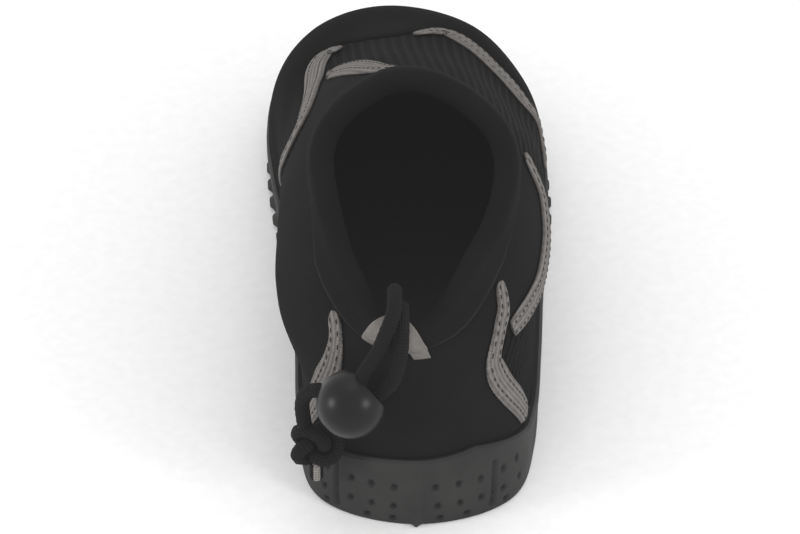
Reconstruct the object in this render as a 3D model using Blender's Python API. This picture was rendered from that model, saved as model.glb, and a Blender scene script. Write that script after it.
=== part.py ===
"""Water shoe for the right foot, standing empty: neoprene upper with a drawn collar in a rubber cup sole.

Metres, +Z up, toe toward +Y, little-toe side toward +X. Shapes are built from one table of foot
sections and one table of levels, then moved so that the bottom centre of the shoe is the origin.
"""
import math

import bpy
import bmesh
from mathutils import Matrix, Vector

# main sizes
LENGTH = 0.249         # sole, heel to toe
BALL = 0.093           # sole across the ball
TOP = 0.091            # collar top over the instep
SPRING = 0.009         # rise of the toe
ARCH = 0.002           # rise of the waist
WALL = 0.0025          # neoprene
LIP = 0.0022           # rubber at its top edge
RAND = 0.0012          # step of the sole's foot
GAP = 0.0003           # between layers
TAPE = 0.0009          # stitched trims
BAND = 0.0105          # collar band, seam to top
BAND_EDGE = 0.0014     # band's height over the upper at its seam
BAND_SWELL = 0.0029    # and at its fullest
WEBBING = 0.0010       # heel tabs
CAP_CLEAR = 0.0011     # toe cap to the trims beside it
CORD = 0.0045
BALL_LOCK = 0.0105     # radius

AROUND = 52            # sections round the shoe
# rows of the upper, closer over the turn of the toe
ROWS = [0, 0.07, 0.14, 0.20, 0.26, 0.32, 0.38, 0.46, 0.55, 0.64, 0.73, 0.82, 0.91, 1]

# one row per section of the foot, t is the share of the length; half widths as shares of BALL,
# lateral then medial, for the sole, the foot of the upper, its body and its top line
SECTIONS = [
    # t, sole, sole, foot, foot, body, body, top, top
    (0.00, 0.000, 0.000, 0.000, 0.000, 0.000, 0.000, -0.040, 0.040),
    (0.06, 0.337, 0.337, 0.301, 0.301, 0.258, 0.288, 0.075, 0.145),
    (0.15, 0.398, 0.392, 0.366, 0.360, 0.349, 0.418, 0.134, 0.189),
    (0.28, 0.423, 0.403, 0.392, 0.376, 0.414, 0.468, 0.199, 0.247),
    (0.42, 0.441, 0.414, 0.409, 0.387, 0.446, 0.470, 0.269, 0.288),
    (0.56, 0.466, 0.468, 0.430, 0.435, 0.446, 0.462, 0.306, 0.317),
    (0.68, 0.478, 0.511, 0.441, 0.478, 0.413, 0.440, 0.312, 0.328),
    (0.78, 0.455, 0.527, 0.424, 0.500, 0.343, 0.400, 0.285, 0.306),
    (0.87, 0.375, 0.505, 0.352, 0.478, 0.262, 0.338, 0.220, 0.253),
    (0.94, 0.262, 0.415, 0.245, 0.396, 0.182, 0.252, 0.140, 0.177),
    (1.00, -0.100, 0.100, -0.088, 0.088, -0.080, 0.080, -0.030, 0.030),
]
# one row per level of the upper, v from its lower edge to its top line; back and front of the
# level's loop, y as shares of LENGTH and z as shares of TOP, then the weights of foot, body and top
LEVELS = [
    # v, back y, back z, front y, front z, foot, body, top
    (0.00, 0.014, 0.099, 0.968, 0.178, 1.00, 0.00, 0.00),
    (0.10, 0.010, 0.198, 0.980, 0.252, 1.04, 0.00, 0.00),
    (0.20, 0.007, 0.297, 0.974, 0.332, 0.88, 0.14, 0.00),
    (0.30, 0.007, 0.385, 0.930, 0.407, 0.55, 0.47, 0.00),
    (0.40, 0.009, 0.462, 0.851, 0.484, 0.18, 0.83, 0.00),
    (0.50, 0.012, 0.533, 0.771, 0.571, 0.00, 1.00, 0.00),
    (0.60, 0.015, 0.593, 0.691, 0.670, 0.00, 0.86, 0.14),
    (0.70, 0.018, 0.648, 0.618, 0.769, 0.00, 0.62, 0.38),
    (0.80, 0.021, 0.682, 0.554, 0.848, 0.00, 0.34, 0.66),
    (0.90, 0.023, 0.709, 0.498, 0.914, 0.00, 0.10, 0.90),
    (1.00, 0.024, 0.729, 0.454, 0.971, 0.00, 0.00, 1.00),
]
# t, level of the rubber's top edge on the lateral side and on the medial side
RUBBER_EDGE = [
    (0.00, 0.150, 0.150), (0.018, 0.172, 0.132), (0.045, 0.138, 0.112), (0.10, 0.078, 0.082),
    (0.16, 0.056, 0.060), (0.30, 0.050, 0.050), (0.55, 0.050, 0.050), (0.80, 0.058, 0.058),
    (0.93, 0.085, 0.085), (1.00, 0.110, 0.110),
]
# trims as tapes on the upper: u round the shoe, v up it, half width in millimetres
TOE_TRIM_MEDIAL = [
    (0.578, 0.448, 1.5), (0.591, 0.413, 3.2), (0.603, 0.403, 4.2), (0.617, 0.428, 4.2),
    (0.631, 0.514, 4.0), (0.646, 0.600, 4.0), (0.663, 0.640, 3.8), (0.684, 0.612, 3.6),
    (0.703, 0.540, 3.6), (0.718, 0.440, 3.6), (0.730, 0.320, 3.6), (0.740, 0.200, 3.6),
    (0.748, 0.085, 3.6),
]
TOE_TRIM_LATERAL = [
    (0.4765, 0.481, 0.8), (0.4665, 0.447, 1.8), (0.453, 0.410, 3.2), (0.441, 0.400, 4.1),
    (0.418, 0.406, 4.4), (0.391, 0.399, 4.4), (0.3725, 0.386, 4.4), (0.3515, 0.367, 4.4),
    (0.335, 0.340, 4.2), (0.324, 0.290, 4.0), (0.315, 0.210, 3.8), (0.306, 0.088, 3.8),
]
THROAT_TRIM = [
    (0.606, 0.582, 4.0), (0.5965, 0.596, 4.6), (0.5865, 0.631, 4.8), (0.5705, 0.703, 4.6),
    (0.556, 0.770, 4.2), (0.542, 0.828, 3.4), (0.5265, 0.868, 2.6), (0.510, 0.895, 1.6),
    (0.4985, 0.902, 0.8),
]
SIDE_TRIM = [
    (0.302, 0.768, 0.8), (0.296, 0.746, 2.6), (0.281, 0.699, 3.6), (0.262, 0.633, 3.8),
    (0.248, 0.595, 3.8), (0.229, 0.562, 3.8), (0.208, 0.533, 3.8), (0.1775, 0.522, 3.6),
    (0.157, 0.545, 3.2), (0.137, 0.567, 3.0), (0.123, 0.580, 2.6), (0.1150, 0.586, 2.2),
]
HEEL_TRIM_LATERAL = [
    (0.158, 0.757, 0.8), (0.1465, 0.732, 2.2), (0.127, 0.679, 2.5), (0.109, 0.649, 2.5),
    (0.089, 0.598, 2.6), (0.0785, 0.545, 3.2), (0.0765, 0.490, 3.9), (0.0800, 0.413, 4.3),
    (0.0870, 0.304, 4.3), (0.0970, 0.205, 4.3), (0.1045, 0.124, 4.1),
]
HEEL_TRIM_MEDIAL = [
    (0.884, 0.772, 0.7), (0.8925, 0.755, 1.8), (0.907, 0.715, 2.3), (0.918, 0.655, 2.8),
    (0.9235, 0.585, 3.3), (0.9245, 0.500, 3.9), (0.9205, 0.413, 4.3), (0.9145, 0.304, 4.3),
    (0.9055, 0.205, 4.3), (0.8970, 0.127, 4.0),
]
# free top edge of the toe cap between the two toe trims, u and v
TOE_CAP_TOP = [(0.481, 0.462), (0.498, 0.498), (0.522, 0.504), (0.550, 0.472), (0.570, 0.424)]
# lower edge of the toe cap, u at its lateral and medial ends
TOE_CAP_FOOT = (0.3185, 0.7320)

# drawcord, metres from the heel's ground point: over the notch, down to the ball, on to the knot
BALL_AT = Vector((-0.0196, -0.0052, 0.0493))
SHELF_WAY = Vector((0.755, 0.386, 0.531))
STRAND_MEDIAL = [Vector(p) for p in (
    (-0.0066, 0.0214, 0.0600), (-0.0066, 0.0214, 0.0670), (-0.0066, 0.0188, 0.0734),
    (-0.0066, 0.0112, 0.0784), (-0.0069, 0.0032, 0.0773), (-0.0093, -0.0012, 0.0722),
    (-0.0120, -0.0030, 0.0662), (-0.0158, -0.0046, 0.0604), (-0.0182, -0.0050, 0.0545))]
STRAND_LATERAL = [Vector(p) for p in (
    (-0.0044, 0.0166, 0.0575), (-0.0044, 0.0168, 0.0640), (-0.0044, 0.0150, 0.0694),
    (-0.0044, 0.0094, 0.0735), (-0.0044, 0.0026, 0.0721), (-0.0047, -0.0024, 0.0672),
    (-0.0058, -0.0043, 0.0617), (-0.0079, -0.0052, 0.0566), (-0.0134, -0.0054, 0.0513))]
TAIL = [Vector(p) for p in (
    (-0.0246, -0.0034, 0.0508), (-0.0296, -0.0010, 0.0512), (-0.0330, 0.0012, 0.0484),
    (-0.0345, 0.0028, 0.0434), (-0.0343, 0.0038, 0.0375), (-0.0336, 0.0040, 0.0318))]
KNOT_AT = Vector((-0.0307, 0.0038, 0.0268))
KNOT = Vector((0.0085, 0.0076, 0.0080))
TIP_AT = Vector((-0.0305, 0.0034, 0.0172))


def spline(xs, ys, x):
    """Value at x of the smooth curve through the knots."""
    n = len(xs)
    i = 0
    while i < n - 2 and x >= xs[i + 1]:
        i += 1

    def slope(k):
        if k == 0:
            return (ys[1] - ys[0]) / (xs[1] - xs[0])
        if k == n - 1:
            return (ys[-1] - ys[-2]) / (xs[-1] - xs[-2])
        a, b = xs[k] - xs[k - 1], xs[k + 1] - xs[k]
        return ((ys[k] - ys[k - 1]) / a * b + (ys[k + 1] - ys[k]) / b * a) / (a + b)

    h = xs[i + 1] - xs[i]
    f = (x - xs[i]) / h
    return ((2 * f ** 3 - 3 * f ** 2 + 1) * ys[i] + (f ** 3 - 2 * f ** 2 + f) * h * slope(i)
            + (3 * f ** 2 - 2 * f ** 3) * ys[i + 1] + (f ** 3 - f ** 2) * h * slope(i + 1))


def column(table, k):
    return [row[k] for row in table]


def share(u):
    """Share of the length at u of the way round, from the heel by the lateral side."""
    return (1 - math.cos(2 * math.pi * u)) / 2


def loop_table(k):
    """Signed half widths round the loop, lateral column k, medial column k + 1."""
    turns = [math.acos(1 - 2 * row[0]) / (2 * math.pi) for row in SECTIONS]
    knots = turns + [1 - t for t in turns[-2:0:-1]]
    widths = column(SECTIONS, k) + [-row[k + 1] for row in SECTIONS[-2:0:-1]]
    knots = [t - 1 for t in knots[-3:]] + knots + [1 + t for t in knots[:3]]
    return knots, widths[-3:] + widths + widths[:3]


LOOPS = [loop_table(k) for k in (1, 3, 5, 7)]


def side(kind, u):
    return BALL * spline(LOOPS[kind][0], LOOPS[kind][1], u % 1.0)


def level(k, v):
    return spline(column(LEVELS, 0), column(LEVELS, k), v)


def rubber_edge(u):
    """Level of the rubber's top edge."""
    t = share(u)
    k = 1 if u % 1.0 <= 0.5 else 2
    for a, b in zip(RUBBER_EDGE, RUBBER_EDGE[1:]):
        if t <= b[0]:
            return a[k] + (b[k] - a[k]) * (t - a[0]) / (b[0] - a[0])
    return RUBBER_EDGE[-1][k]


def seam_level(u):
    """Level of the collar band's lower seam, BAND below the top line where there is room."""
    length = (surface(u, 1.0) - surface(u, 0.86)).length / 0.14
    return max(0.79, 1 - BAND / length)


def rise(t):
    """Underside of the sole: flat heel and ball, raised waist and toe."""
    toe = SPRING * max(0.0, (t - 0.76) / 0.24) ** 2
    waist = math.sin(math.pi * min(max((t - 0.30) / 0.24, 0), 1)) ** 2
    return toe + ARCH * waist


def surface(u, v):
    t = share(u)
    back_y, back_z, front_y, front_z = (level(k, v) for k in (1, 2, 3, 4))
    x = level(5, v) * side(1, u) + level(6, v) * side(2, u) + level(7, v) * side(3, u)
    sag = SPRING * t - SPRING * max(0.0, (t - 0.76) / 0.24) ** 2
    z = TOP * (back_z + (front_z - back_z) * t) - sag * max(0.0, 1 - v / 0.4) ** 2
    return Vector((x, LENGTH * (back_y + (front_y - back_y) * t), z))


def frame_at(u, v):
    """Point, unit directions round and up, and outward normal of the upper."""
    d = 0.004
    lo, hi = max(0.0, v - d), min(1.0, v + d)
    point = surface(u, v)
    around = (surface(u + d, v) - surface(u - d, v)) / (2 * d)
    upward = (surface(u, hi) - surface(u, lo)) / (hi - lo)
    return point, around, upward, around.cross(upward).normalized()


def upper_point(u, v, off=0.0):
    point, _, _, normal = frame_at(u, v)
    return point + normal * off


def outline(u, inset, z):
    """Point of the sole's outline moved inward, at height z over the underside."""
    d = 0.004
    t = share(u)

    def flat(w):
        return Vector((side(0, w), -0.002 + LENGTH * share(w), 0))

    along = flat(u + d) - flat(u - d)
    inward = Vector((-along.y, along.x, 0)).normalized()
    point = flat(u) + inward * inset
    point.z = rise(t) + z
    return point


def clear_scene():
    for ob in list(bpy.data.objects):
        bpy.data.objects.remove(ob)
    for old in list(bpy.data.collections):
        bpy.data.collections.remove(old)


def material(name, colour, rough, coat=0.0):
    mat = bpy.data.materials.new(name)
    mat.use_nodes = True
    shader = mat.node_tree.nodes["Principled BSDF"]
    shader.inputs["Base Color"].default_value = (*colour, 1)
    shader.inputs["Roughness"].default_value = rough
    shader.inputs["Coat Weight"].default_value = coat
    mat.diffuse_color = (*colour, 1)
    return mat


def finish_mesh(bm, name, mat, group):
    bmesh.ops.recalc_face_normals(bm, faces=bm.faces[:])
    mesh = bpy.data.meshes.new(name)
    bm.to_mesh(mesh)
    bm.free()
    ob = bpy.data.objects.new(name, mesh)
    mesh.materials.append(mat)
    group.objects.link(ob)
    return ob


def loft(name, sections, mat, group, closed=False):
    """Solid through sections, each a list of outer points and a list of inner points."""
    bm = bmesh.new()
    rings = [[bm.verts.new(p) for p in outer] + [bm.verts.new(p) for p in reversed(inner)]
             for outer, inner in sections]
    count = len(rings[0])
    half = count // 2
    pairs = list(zip(rings, rings[1:]))
    if closed:
        pairs.append((rings[-1], rings[0]))
    else:
        for ring in (rings[0], rings[-1]):
            for i in range(half - 1):
                bm.faces.new((ring[i], ring[i + 1], ring[count - 2 - i], ring[count - 1 - i]))
    for a, b in pairs:
        for i in range(count):
            j = (i + 1) % count
            bm.faces.new((a[i], a[j], b[j], b[i]))
    return finish_mesh(bm, name, mat, group)


def stack(name, rings, mat, group, across=4):
    """Solid through level rings, closed below and above by strips from side to side."""
    bm = bmesh.new()
    loops = [[bm.verts.new(p) for p in ring] for ring in rings]
    n = len(loops[0])
    for a, b in zip(loops, loops[1:]):
        for i in range(n):
            j = (i + 1) % n
            bm.faces.new((a[i], a[j], b[j], b[i]))
    for loop in (loops[0], loops[-1]):
        rows = []
        for i in range(1, n // 2):
            p, q = loop[i], loop[n - i]
            inner = [bm.verts.new(p.co.lerp(q.co, k / across)) for k in range(1, across)]
            rows.append([p] + inner + [q])
        for a, b in zip(rows, rows[1:]):
            for k in range(across):
                bm.faces.new((a[k], a[k + 1], b[k + 1], b[k]))
        for row, tip in ((rows[0], loop[0]), (rows[-1], loop[n // 2])):
            for k in range(across):
                bm.faces.new((row[k], row[k + 1], tip))
    return finish_mesh(bm, name, mat, group)


def path_point(table, s):
    """u, v and half width at share s of a trim's rows."""
    at = s * (len(table) - 1)
    xs = list(range(len(table)))
    return [spline(xs, column(table, k), at) for k in range(3)]


def tape_spot(table, s, shift):
    """u and v beside a trim's middle line, shift metres to the left of its run."""
    d = 0.01
    u, v, _ = path_point(table, s)
    ahead, behind = path_point(table, min(1, s + d)), path_point(table, max(0, s - d))
    _, around, upward, normal = frame_at(u, v)
    along = around * (ahead[0] - behind[0]) + upward * (ahead[1] - behind[1])
    left = normal.cross(along).normalized()
    # metres to steps of u and v, by the two directions of the surface
    aa, bb, ab = around.dot(around), upward.dot(upward), around.dot(upward)
    ca, cb = left.dot(around), left.dot(upward)
    det = aa * bb - ab * ab
    return u + shift * (ca * bb - cb * ab) / det, v + shift * (cb * aa - ca * ab) / det


def tape(name, table, count, mat, group, across=2):
    sections = []
    for i in range(count + 1):
        s = i / count
        half = path_point(table, s)[2] * 0.001
        spots = [tape_spot(table, s, half * (2 * k / across - 1)) for k in range(across + 1)]
        sections.append(([upper_point(u, v, GAP + TAPE) for u, v in spots],
                         [upper_point(u, v, GAP) for u, v in spots]))
    return loft(name, sections, mat, group)


def build_upper(mat, group):
    sections = []
    for i in range(AROUND):
        u = i / AROUND
        sections.append(([upper_point(u, v) for v in ROWS], [upper_point(u, v, -WALL) for v in ROWS]))
    return loft("upper", sections, mat, group, closed=True)


def crest(top, normal, up, lift):
    """Three points over the band's top, from outside to inside, raised by lift."""
    return [top + normal * (BAND_SWELL * 0.76 + lift * 0.8) + up * (BAND_SWELL * 0.48 + lift * 0.8),
            top - normal * WALL * 0.48 + up * (BAND_SWELL * 1.03 + lift),
            top - normal * (WALL + BAND_SWELL * 0.72 + lift * 0.8) + up * (BAND_SWELL * 0.48 + lift * 0.8)]


def build_band(mat, group):
    """Folded collar band, a thick channel over the upper's top edge."""
    sections = []
    for i in range(AROUND):
        u = i / AROUND
        seam = seam_level(u)
        _, _, upward, normal = frame_at(u, 1.0)
        up = upward.normalized()
        top = surface(u, 1.0)
        outer = [upper_point(u, seam, BAND_EDGE)]
        outer += [upper_point(u, seam + (1 - seam) * f, BAND_SWELL * h) for f, h in ((0.15, 0.83), (0.57, 1.0))]
        outer += crest(top, normal, up, 0.0)
        outer += [upper_point(u, seam + (1 - seam) * f, -WALL - BAND_SWELL * h)
                  for f, h in ((0.57, 0.97), (0.15, 0.76))]
        outer += [upper_point(u, seam, -WALL - BAND_EDGE * 0.86)]
        gap = GAP * 1.5
        inner = [upper_point(u, seam + (1 - seam) * f, gap) for f in (0, 0.15, 0.57)]
        inner += [top + normal * gap + up * 0.0004, top - normal * WALL / 2 + up * 0.0006,
                  top - normal * (WALL + gap) + up * 0.0004]
        inner += [upper_point(u, seam + (1 - seam) * f, -WALL - gap) for f in (0.57, 0.15, 0)]
        sections.append((outer, inner))
    return loft("collar_band", sections, mat, group, closed=True)


def build_toe_cap(mat, group):
    """Cap between the rubber's edge and the toe trims, along the trims' own lower edges."""
    top = []
    for s in (0.79, 0.72, 0.65, 0.58, 0.51, 0.44, 0.37, 0.30, 0.22, 0.14, 0.05):
        half = path_point(TOE_TRIM_LATERAL, s)[2] * 0.001
        top.append(tape_spot(TOE_TRIM_LATERAL, s, half + CAP_CLEAR))
    top += TOE_CAP_TOP
    for s in (0.07, 0.14, 0.20, 0.26, 0.32, 0.38, 0.44, 0.50, 0.56, 0.62, 0.68, 0.74, 0.79):
        half = path_point(TOE_TRIM_MEDIAL, s)[2] * 0.001
        top.append(tape_spot(TOE_TRIM_MEDIAL, s, -half - CAP_CLEAR * (1.6 if s < 0.25 else 1)))
    # closer sections over the turn of the toe
    close = [top[0]]
    for (ua, va), (ub, vb) in zip(top, top[1:]):
        if ub - ua > 0.013:
            close.append(((ua + ub) / 2, (va + vb) / 2))
        close.append((ub, vb))
    top = close
    sections = []
    first, last = TOE_CAP_FOOT
    across = 9
    for ub, vb in top:
        ua = first + (last - first) * (ub - top[0][0]) / (top[-1][0] - top[0][0])
        va = rubber_edge(ua) + 0.045
        steps = [k / across for k in range(across + 1)]
        spots = [(ua + (ub - ua) * f, va + (vb - va) * f) for f in steps]
        sections.append(([upper_point(u, v, GAP + 0.0008) for u, v in spots],
                         [upper_point(u, v, GAP + 0.0001) for u, v in spots]))
    return loft("toe_cap", sections, mat, group)


def build_outsole(mat, group):
    """Cup sole: stepped foot, leaning wall, lip and deck."""
    us = [i / AROUND for i in range(AROUND)]
    rings = [
        [outline(u, 0.0030, 0) for u in us],
        [outline(u, 0.0003, 0) for u in us],
        [outline(u, 0.0, 0.0005) for u in us],
        [outline(u, 0.0, 0.0056) for u in us],
        # the step fades out round the heel
        [outline(u, RAND * min(1.0, max(0.0, (share(u) - 0.10) / 0.20)), 0.0066) for u in us],
    ]
    for f, off in ((0.55, LIP + 0.0006), (1.0, LIP)):
        rings.append([upper_point(u, rubber_edge(u) * f, GAP + off) for u in us])
    rings.append([upper_point(u, rubber_edge(u) + 0.006, GAP + LIP * 0.6) for u in us])
    for f in (1.0, 0.5, 0.0):
        rings.append([upper_point(u, rubber_edge(u) * f, GAP) for u in us])
    rings[-1] = [p - Vector((0, 0, GAP)) for p in rings[-1]]
    rings.append([upper_point(u, 0, -WALL) - Vector((0, 0, GAP)) for u in us])
    return stack("outsole", rings, mat, group)


def build_insole(mat, group):
    us = [i / AROUND for i in range(AROUND)]
    lift = Vector((0, 0, GAP))
    rings = [
        [upper_point(u, 0, -WALL - 0.0010) for u in us],
        [upper_point(u, 0.004, -WALL - 0.0004) + lift for u in us],
        [upper_point(u, 0.034, -WALL - 0.0004) for u in us],
        [upper_point(u, 0.040, -WALL - 0.0012) for u in us],
    ]
    return stack("insole", rings, mat, group)


def box_cutter(name, corners, height, group, mat):
    """Upright prisms, each from a loop of floor corners and a lower and upper height."""
    bm = bmesh.new()
    for loop, (low, high) in zip(corners, height):
        a = [bm.verts.new((p[0], p[1], low)) for p in loop]
        b = [bm.verts.new((p[0], p[1], high)) for p in loop]
        bm.faces.new(reversed(a))
        bm.faces.new(b)
        for i in range(len(loop)):
            j = (i + 1) % len(loop)
            bm.faces.new((a[i], a[j], b[j], b[i]))
    ob = finish_mesh(bm, name, mat, group)
    ob.hide_render = True
    ob.display_type = 'WIRE'
    return ob


def cut(ob, cutter, label):
    mod = ob.modifiers.new(label, 'BOOLEAN')
    mod.operation = 'DIFFERENCE'
    mod.solver = 'EXACT'
    mod.object = cutter


def tread_rows():
    """y of each tread groove at the sole's middle: close in the forefoot, wider at the heel."""
    return ([LENGTH * (0.06426 + 0.04618 * i) for i in range(6)]
            + [LENGTH * (0.56627 + 0.04096 * i) for i in range(10)])


def build_tread(outsole, cutters, mat):
    corners, heights = [], []
    half, bend = 0.0013, 0.005
    for y in tread_rows():
        loop = [(x, y + side_sign * half - bend * (1 - abs(x) / 0.06))
                for side_sign, xs in ((-1, (-0.06, 0.0, 0.06)), (1, (0.06, 0.0, -0.06))) for x in xs]
        corners.append(loop)
        heights.append((-0.01, rise(min(1, (y - 0.004) / LENGTH)) + 0.0018))
    cut(outsole, box_cutter("cut_tread", corners, heights, cutters, mat), "tread")

    corners, heights = [], []
    width, deep = 0.0016, 0.0011
    for sign in (1, -1):
        for y in tread_rows()[6:]:
            # the loop position whose outline meets this groove
            best = min((abs(outline(sign * k / 800, 0, 0).y - y + 0.0012), k) for k in range(200, 396))
            u = sign * best[1] / 800
            p, q = outline(u, deep, 0), outline(u, -0.004, 0)
            out = (q - p).normalized()
            along = Vector((-out.y, out.x, 0))
            corners.append([p - along * width, q - along * width, q + along * width, p + along * width])
            heights.append((-0.01, p.z + 0.0060))
    cut(outsole, box_cutter("cut_side", corners, heights, cutters, mat), "side knobs")


def build_tabs(mat, group):
    """Webbing tabs over the band on both sides of the heel's notch."""
    swell = BAND_SWELL
    # share of the band's height, height over the upper, share of the tab's width
    long_foot = ((-0.40, 0.0, 0.62), (-0.06, BAND_EDGE, 0.72), (0.15, swell * 0.9, 0.84),
                 (0.62, swell * 1.04, 0.97))
    short_foot = ((0.04, swell * 0.66, 0.78), (0.15, swell * 0.9, 0.86), (0.62, swell * 1.04, 0.98))
    for name, centre, half, foot in (("heel_tab_lateral", 0.0120, 0.0155, long_foot),
                                     ("heel_tab_medial", 0.9540, 0.0180, short_foot)):
        sections = []
        for i in range(7):
            across = half * (2 * i / 6 - 1)
            u = centre + across
            seam = seam_level(u)
            _, _, upward, normal = frame_at(u, 1.0)
            up = upward.normalized()
            top = surface(u, 1.0)
            spots = []
            for lift in (0.0, WEBBING):
                h = GAP + lift
                row = [upper_point(centre + across * wide, seam + (1 - seam) * f, base + h)
                       for f, base, wide in foot]
                row += crest(top, normal, up, h + 0.0001)
                row.append(upper_point(u, seam + (1 - seam) * 0.6, -WALL - BAND_SWELL - h))
                spots.append(row)
            sections.append((spots[1], spots[0]))
        loft(name, sections, mat, group)


def cord(name, points, mat, group, width=CORD):
    """Round cord through smooth points."""
    xs = list(range(len(points)))
    count = max(4, int(sum((b - a).length for a, b in zip(points, points[1:])) / (width * 0.55)))
    curve = bpy.data.curves.new(name, 'CURVE')
    curve.dimensions = '3D'
    curve.bevel_depth = width / 2
    curve.bevel_resolution = 2
    curve.use_fill_caps = True
    line = curve.splines.new('POLY')
    line.points.add(count)
    for i in range(count + 1):
        at = i / count * (len(points) - 1)
        line.points[i].co = (*[spline(xs, [p[k] for p in points], at) for k in range(3)], 1)
    curve.materials.append(mat)
    ob = bpy.data.objects.new(name, curve)
    group.objects.link(ob)
    return ob


def drill(name, start, end, radius, cutters, mat):
    """Round cutter from start to end."""
    bm = bmesh.new()
    bmesh.ops.create_cone(bm, cap_ends=True, segments=20, radius1=radius, radius2=radius,
                          depth=(end - start).length)
    ob = finish_mesh(bm, name, mat, cutters)
    turn = (end - start).to_track_quat('Z', 'Y').to_matrix().to_4x4()
    turn.translation = (start + end) / 2
    ob.data.transform(turn)
    ob.hide_render = True
    ob.display_type = 'WIRE'
    return ob


def build_lock(ways, cutters, mats, group):
    """Ball cord lock: a sphere with a flat shelf and sockets for the cords."""
    bm = bmesh.new()
    bmesh.ops.create_uvsphere(bm, u_segments=20, v_segments=12, radius=BALL_LOCK)
    ball = finish_mesh(bm, "cord_lock", mats[0], group)
    ball.data.shade_smooth()
    ball.data.transform(Matrix.Translation(BALL_AT))
    axis = SHELF_WAY.normalized()
    shelf = BALL_AT + axis * BALL_LOCK * 0.72
    cut(ball, drill("cut_shelf", shelf, shelf + axis * 0.01, 0.012, cutters, mats[1]), "shelf")
    for k, (start, end) in enumerate(ways):
        label = "socket %d" % (k + 1)
        cut(ball, drill("cut_socket_%d" % (k + 1), start, end, CORD / 2 + 0.0005, cutters, mats[1]), label)


def build_knot(cutters, mats, group):
    """Tied cord ends: one lumpy body with crossing swellings."""
    bm = bmesh.new()
    bmesh.ops.create_icosphere(bm, subdivisions=3, radius=1.0)
    for vert in bm.verts:
        d = vert.co.normalized()
        bulge = 0.13 * math.cos(3.0 * math.atan2(d.z, d.x) + 4.0 * d.y) + 0.07 * math.cos(5 * d.z - 2 * d.x)
        vert.co = KNOT_AT + Vector((d.x * KNOT.x, d.y * KNOT.y, d.z * KNOT.z)) * (0.84 + bulge * 0.8)
    knot = finish_mesh(bm, "cord_knot", mats[0], group)
    knot.data.shade_smooth()
    way = (TAIL[-2] - TAIL[-1]).normalized()
    entry = drill("cut_knot_top", TAIL[-1] - way * 0.0003, TAIL[-1] + way * 0.008, CORD / 2 + GAP,
                  cutters, mats[1])
    cut(knot, entry, "cord entry")
    top = TIP_AT + Vector((0, 0, 0.00375))
    below = drill("cut_knot_tip", top + Vector((0, 0, 0.0003)), TIP_AT - Vector((0, 0, 0.004)),
                  0.0023 + GAP, cutters, mats[1])
    cut(knot, below, "tip entry")


def build_drawcord(cutters, mats, group):
    """Two strands from the notch into the ball, one tail to the knot and a bound tip under it."""
    cord_mat, plastic, cut_mat, tip_mat = mats
    ways = []
    for points in (STRAND_LATERAL, STRAND_MEDIAL):
        ways.append((points[-1] + (points[-1] - points[-2]).normalized() * 0.0006,
                     points[-2] + (points[-2] - points[-1]) * 1.2))
    ways.append((TAIL[0] + (TAIL[0] - TAIL[1]).normalized() * 0.0006, TAIL[1] + (TAIL[1] - TAIL[0]) * 0.5))
    build_lock(ways, cutters, (plastic, cut_mat), group)
    cord("drawcord_lateral", STRAND_LATERAL, cord_mat, group)
    cord("drawcord_medial", STRAND_MEDIAL, cord_mat, group)
    cord("drawcord_tail", TAIL, cord_mat, group)
    build_knot(cutters, (cord_mat, cut_mat), group)
    bm = bmesh.new()
    bmesh.ops.create_cone(bm, cap_ends=True, segments=16, radius1=0.0019, radius2=0.0023, depth=0.0075)
    tip = finish_mesh(bm, "cord_tip", tip_mat, group)
    tip.data.transform(Matrix.Translation(TIP_AT))


def place(group):
    """Origin to the bottom centre of the shoe without its cords."""
    loose = ("drawcord_lateral", "drawcord_medial", "drawcord_tail", "cord_lock", "cord_knot", "cord_tip")
    points = [v.co for ob in group.objects if ob.name not in loose for v in ob.data.vertices]
    low = [min(p[k] for p in points) for k in range(3)]
    high = [max(p[k] for p in points) for k in range(3)]
    move = Vector((-(low[0] + high[0]) / 2, -(low[1] + high[1]) / 2, -low[2]))
    for ob in list(bpy.data.objects):
        ob.location = move


def build():
    clear_scene()
    scene = bpy.context.scene
    shoe = bpy.data.collections.new("water_shoe")
    cutters = bpy.data.collections.new("cutters")
    scene.collection.children.link(shoe)
    scene.collection.children.link(cutters)

    rubber = material("grey rubber", (0.050, 0.050, 0.050), 0.62)
    neoprene = material("black neoprene", (0.022, 0.022, 0.022), 0.90)
    lining = material("insole foam", (0.016, 0.016, 0.016), 0.95)
    cap = material("coated toe fabric", (0.030, 0.030, 0.030), 0.75)
    tape_mat = material("grey stitched tape", (0.23, 0.21, 0.20), 0.85)
    webbing = material("pale webbing", (0.30, 0.28, 0.26), 0.88)
    cord_mat = material("black round cord", (0.020, 0.020, 0.020), 0.80)
    plastic = material("glossy black plastic", (0.030, 0.030, 0.030), 0.30)
    cut_mat = material("cutter", (0.8, 0.2, 0.1), 0.5)

    outsole = build_outsole(rubber, shoe)
    build_tread(outsole, cutters, cut_mat)
    build_insole(lining, shoe)
    build_upper(neoprene, shoe)
    build_band(neoprene, shoe)
    build_toe_cap(cap, shoe)
    tape("toe_trim_medial", TOE_TRIM_MEDIAL, 30, tape_mat, shoe)
    tape("toe_trim_lateral", TOE_TRIM_LATERAL, 30, tape_mat, shoe)
    tape("throat_trim", THROAT_TRIM, 18, tape_mat, shoe)
    tape("side_trim", SIDE_TRIM, 26, tape_mat, shoe)
    tape("heel_trim_lateral", HEEL_TRIM_LATERAL, 18, tape_mat, shoe)
    tape("heel_trim_medial", HEEL_TRIM_MEDIAL, 18, tape_mat, shoe)
    build_tabs(webbing, shoe)
    build_drawcord(cutters, (cord_mat, plastic, cut_mat, webbing), shoe)
    place(shoe)


if __name__ == "__main__":
    build()
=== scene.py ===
import math

import bmesh
import bpy
import numpy as np
from mathutils import Matrix, Vector


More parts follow.
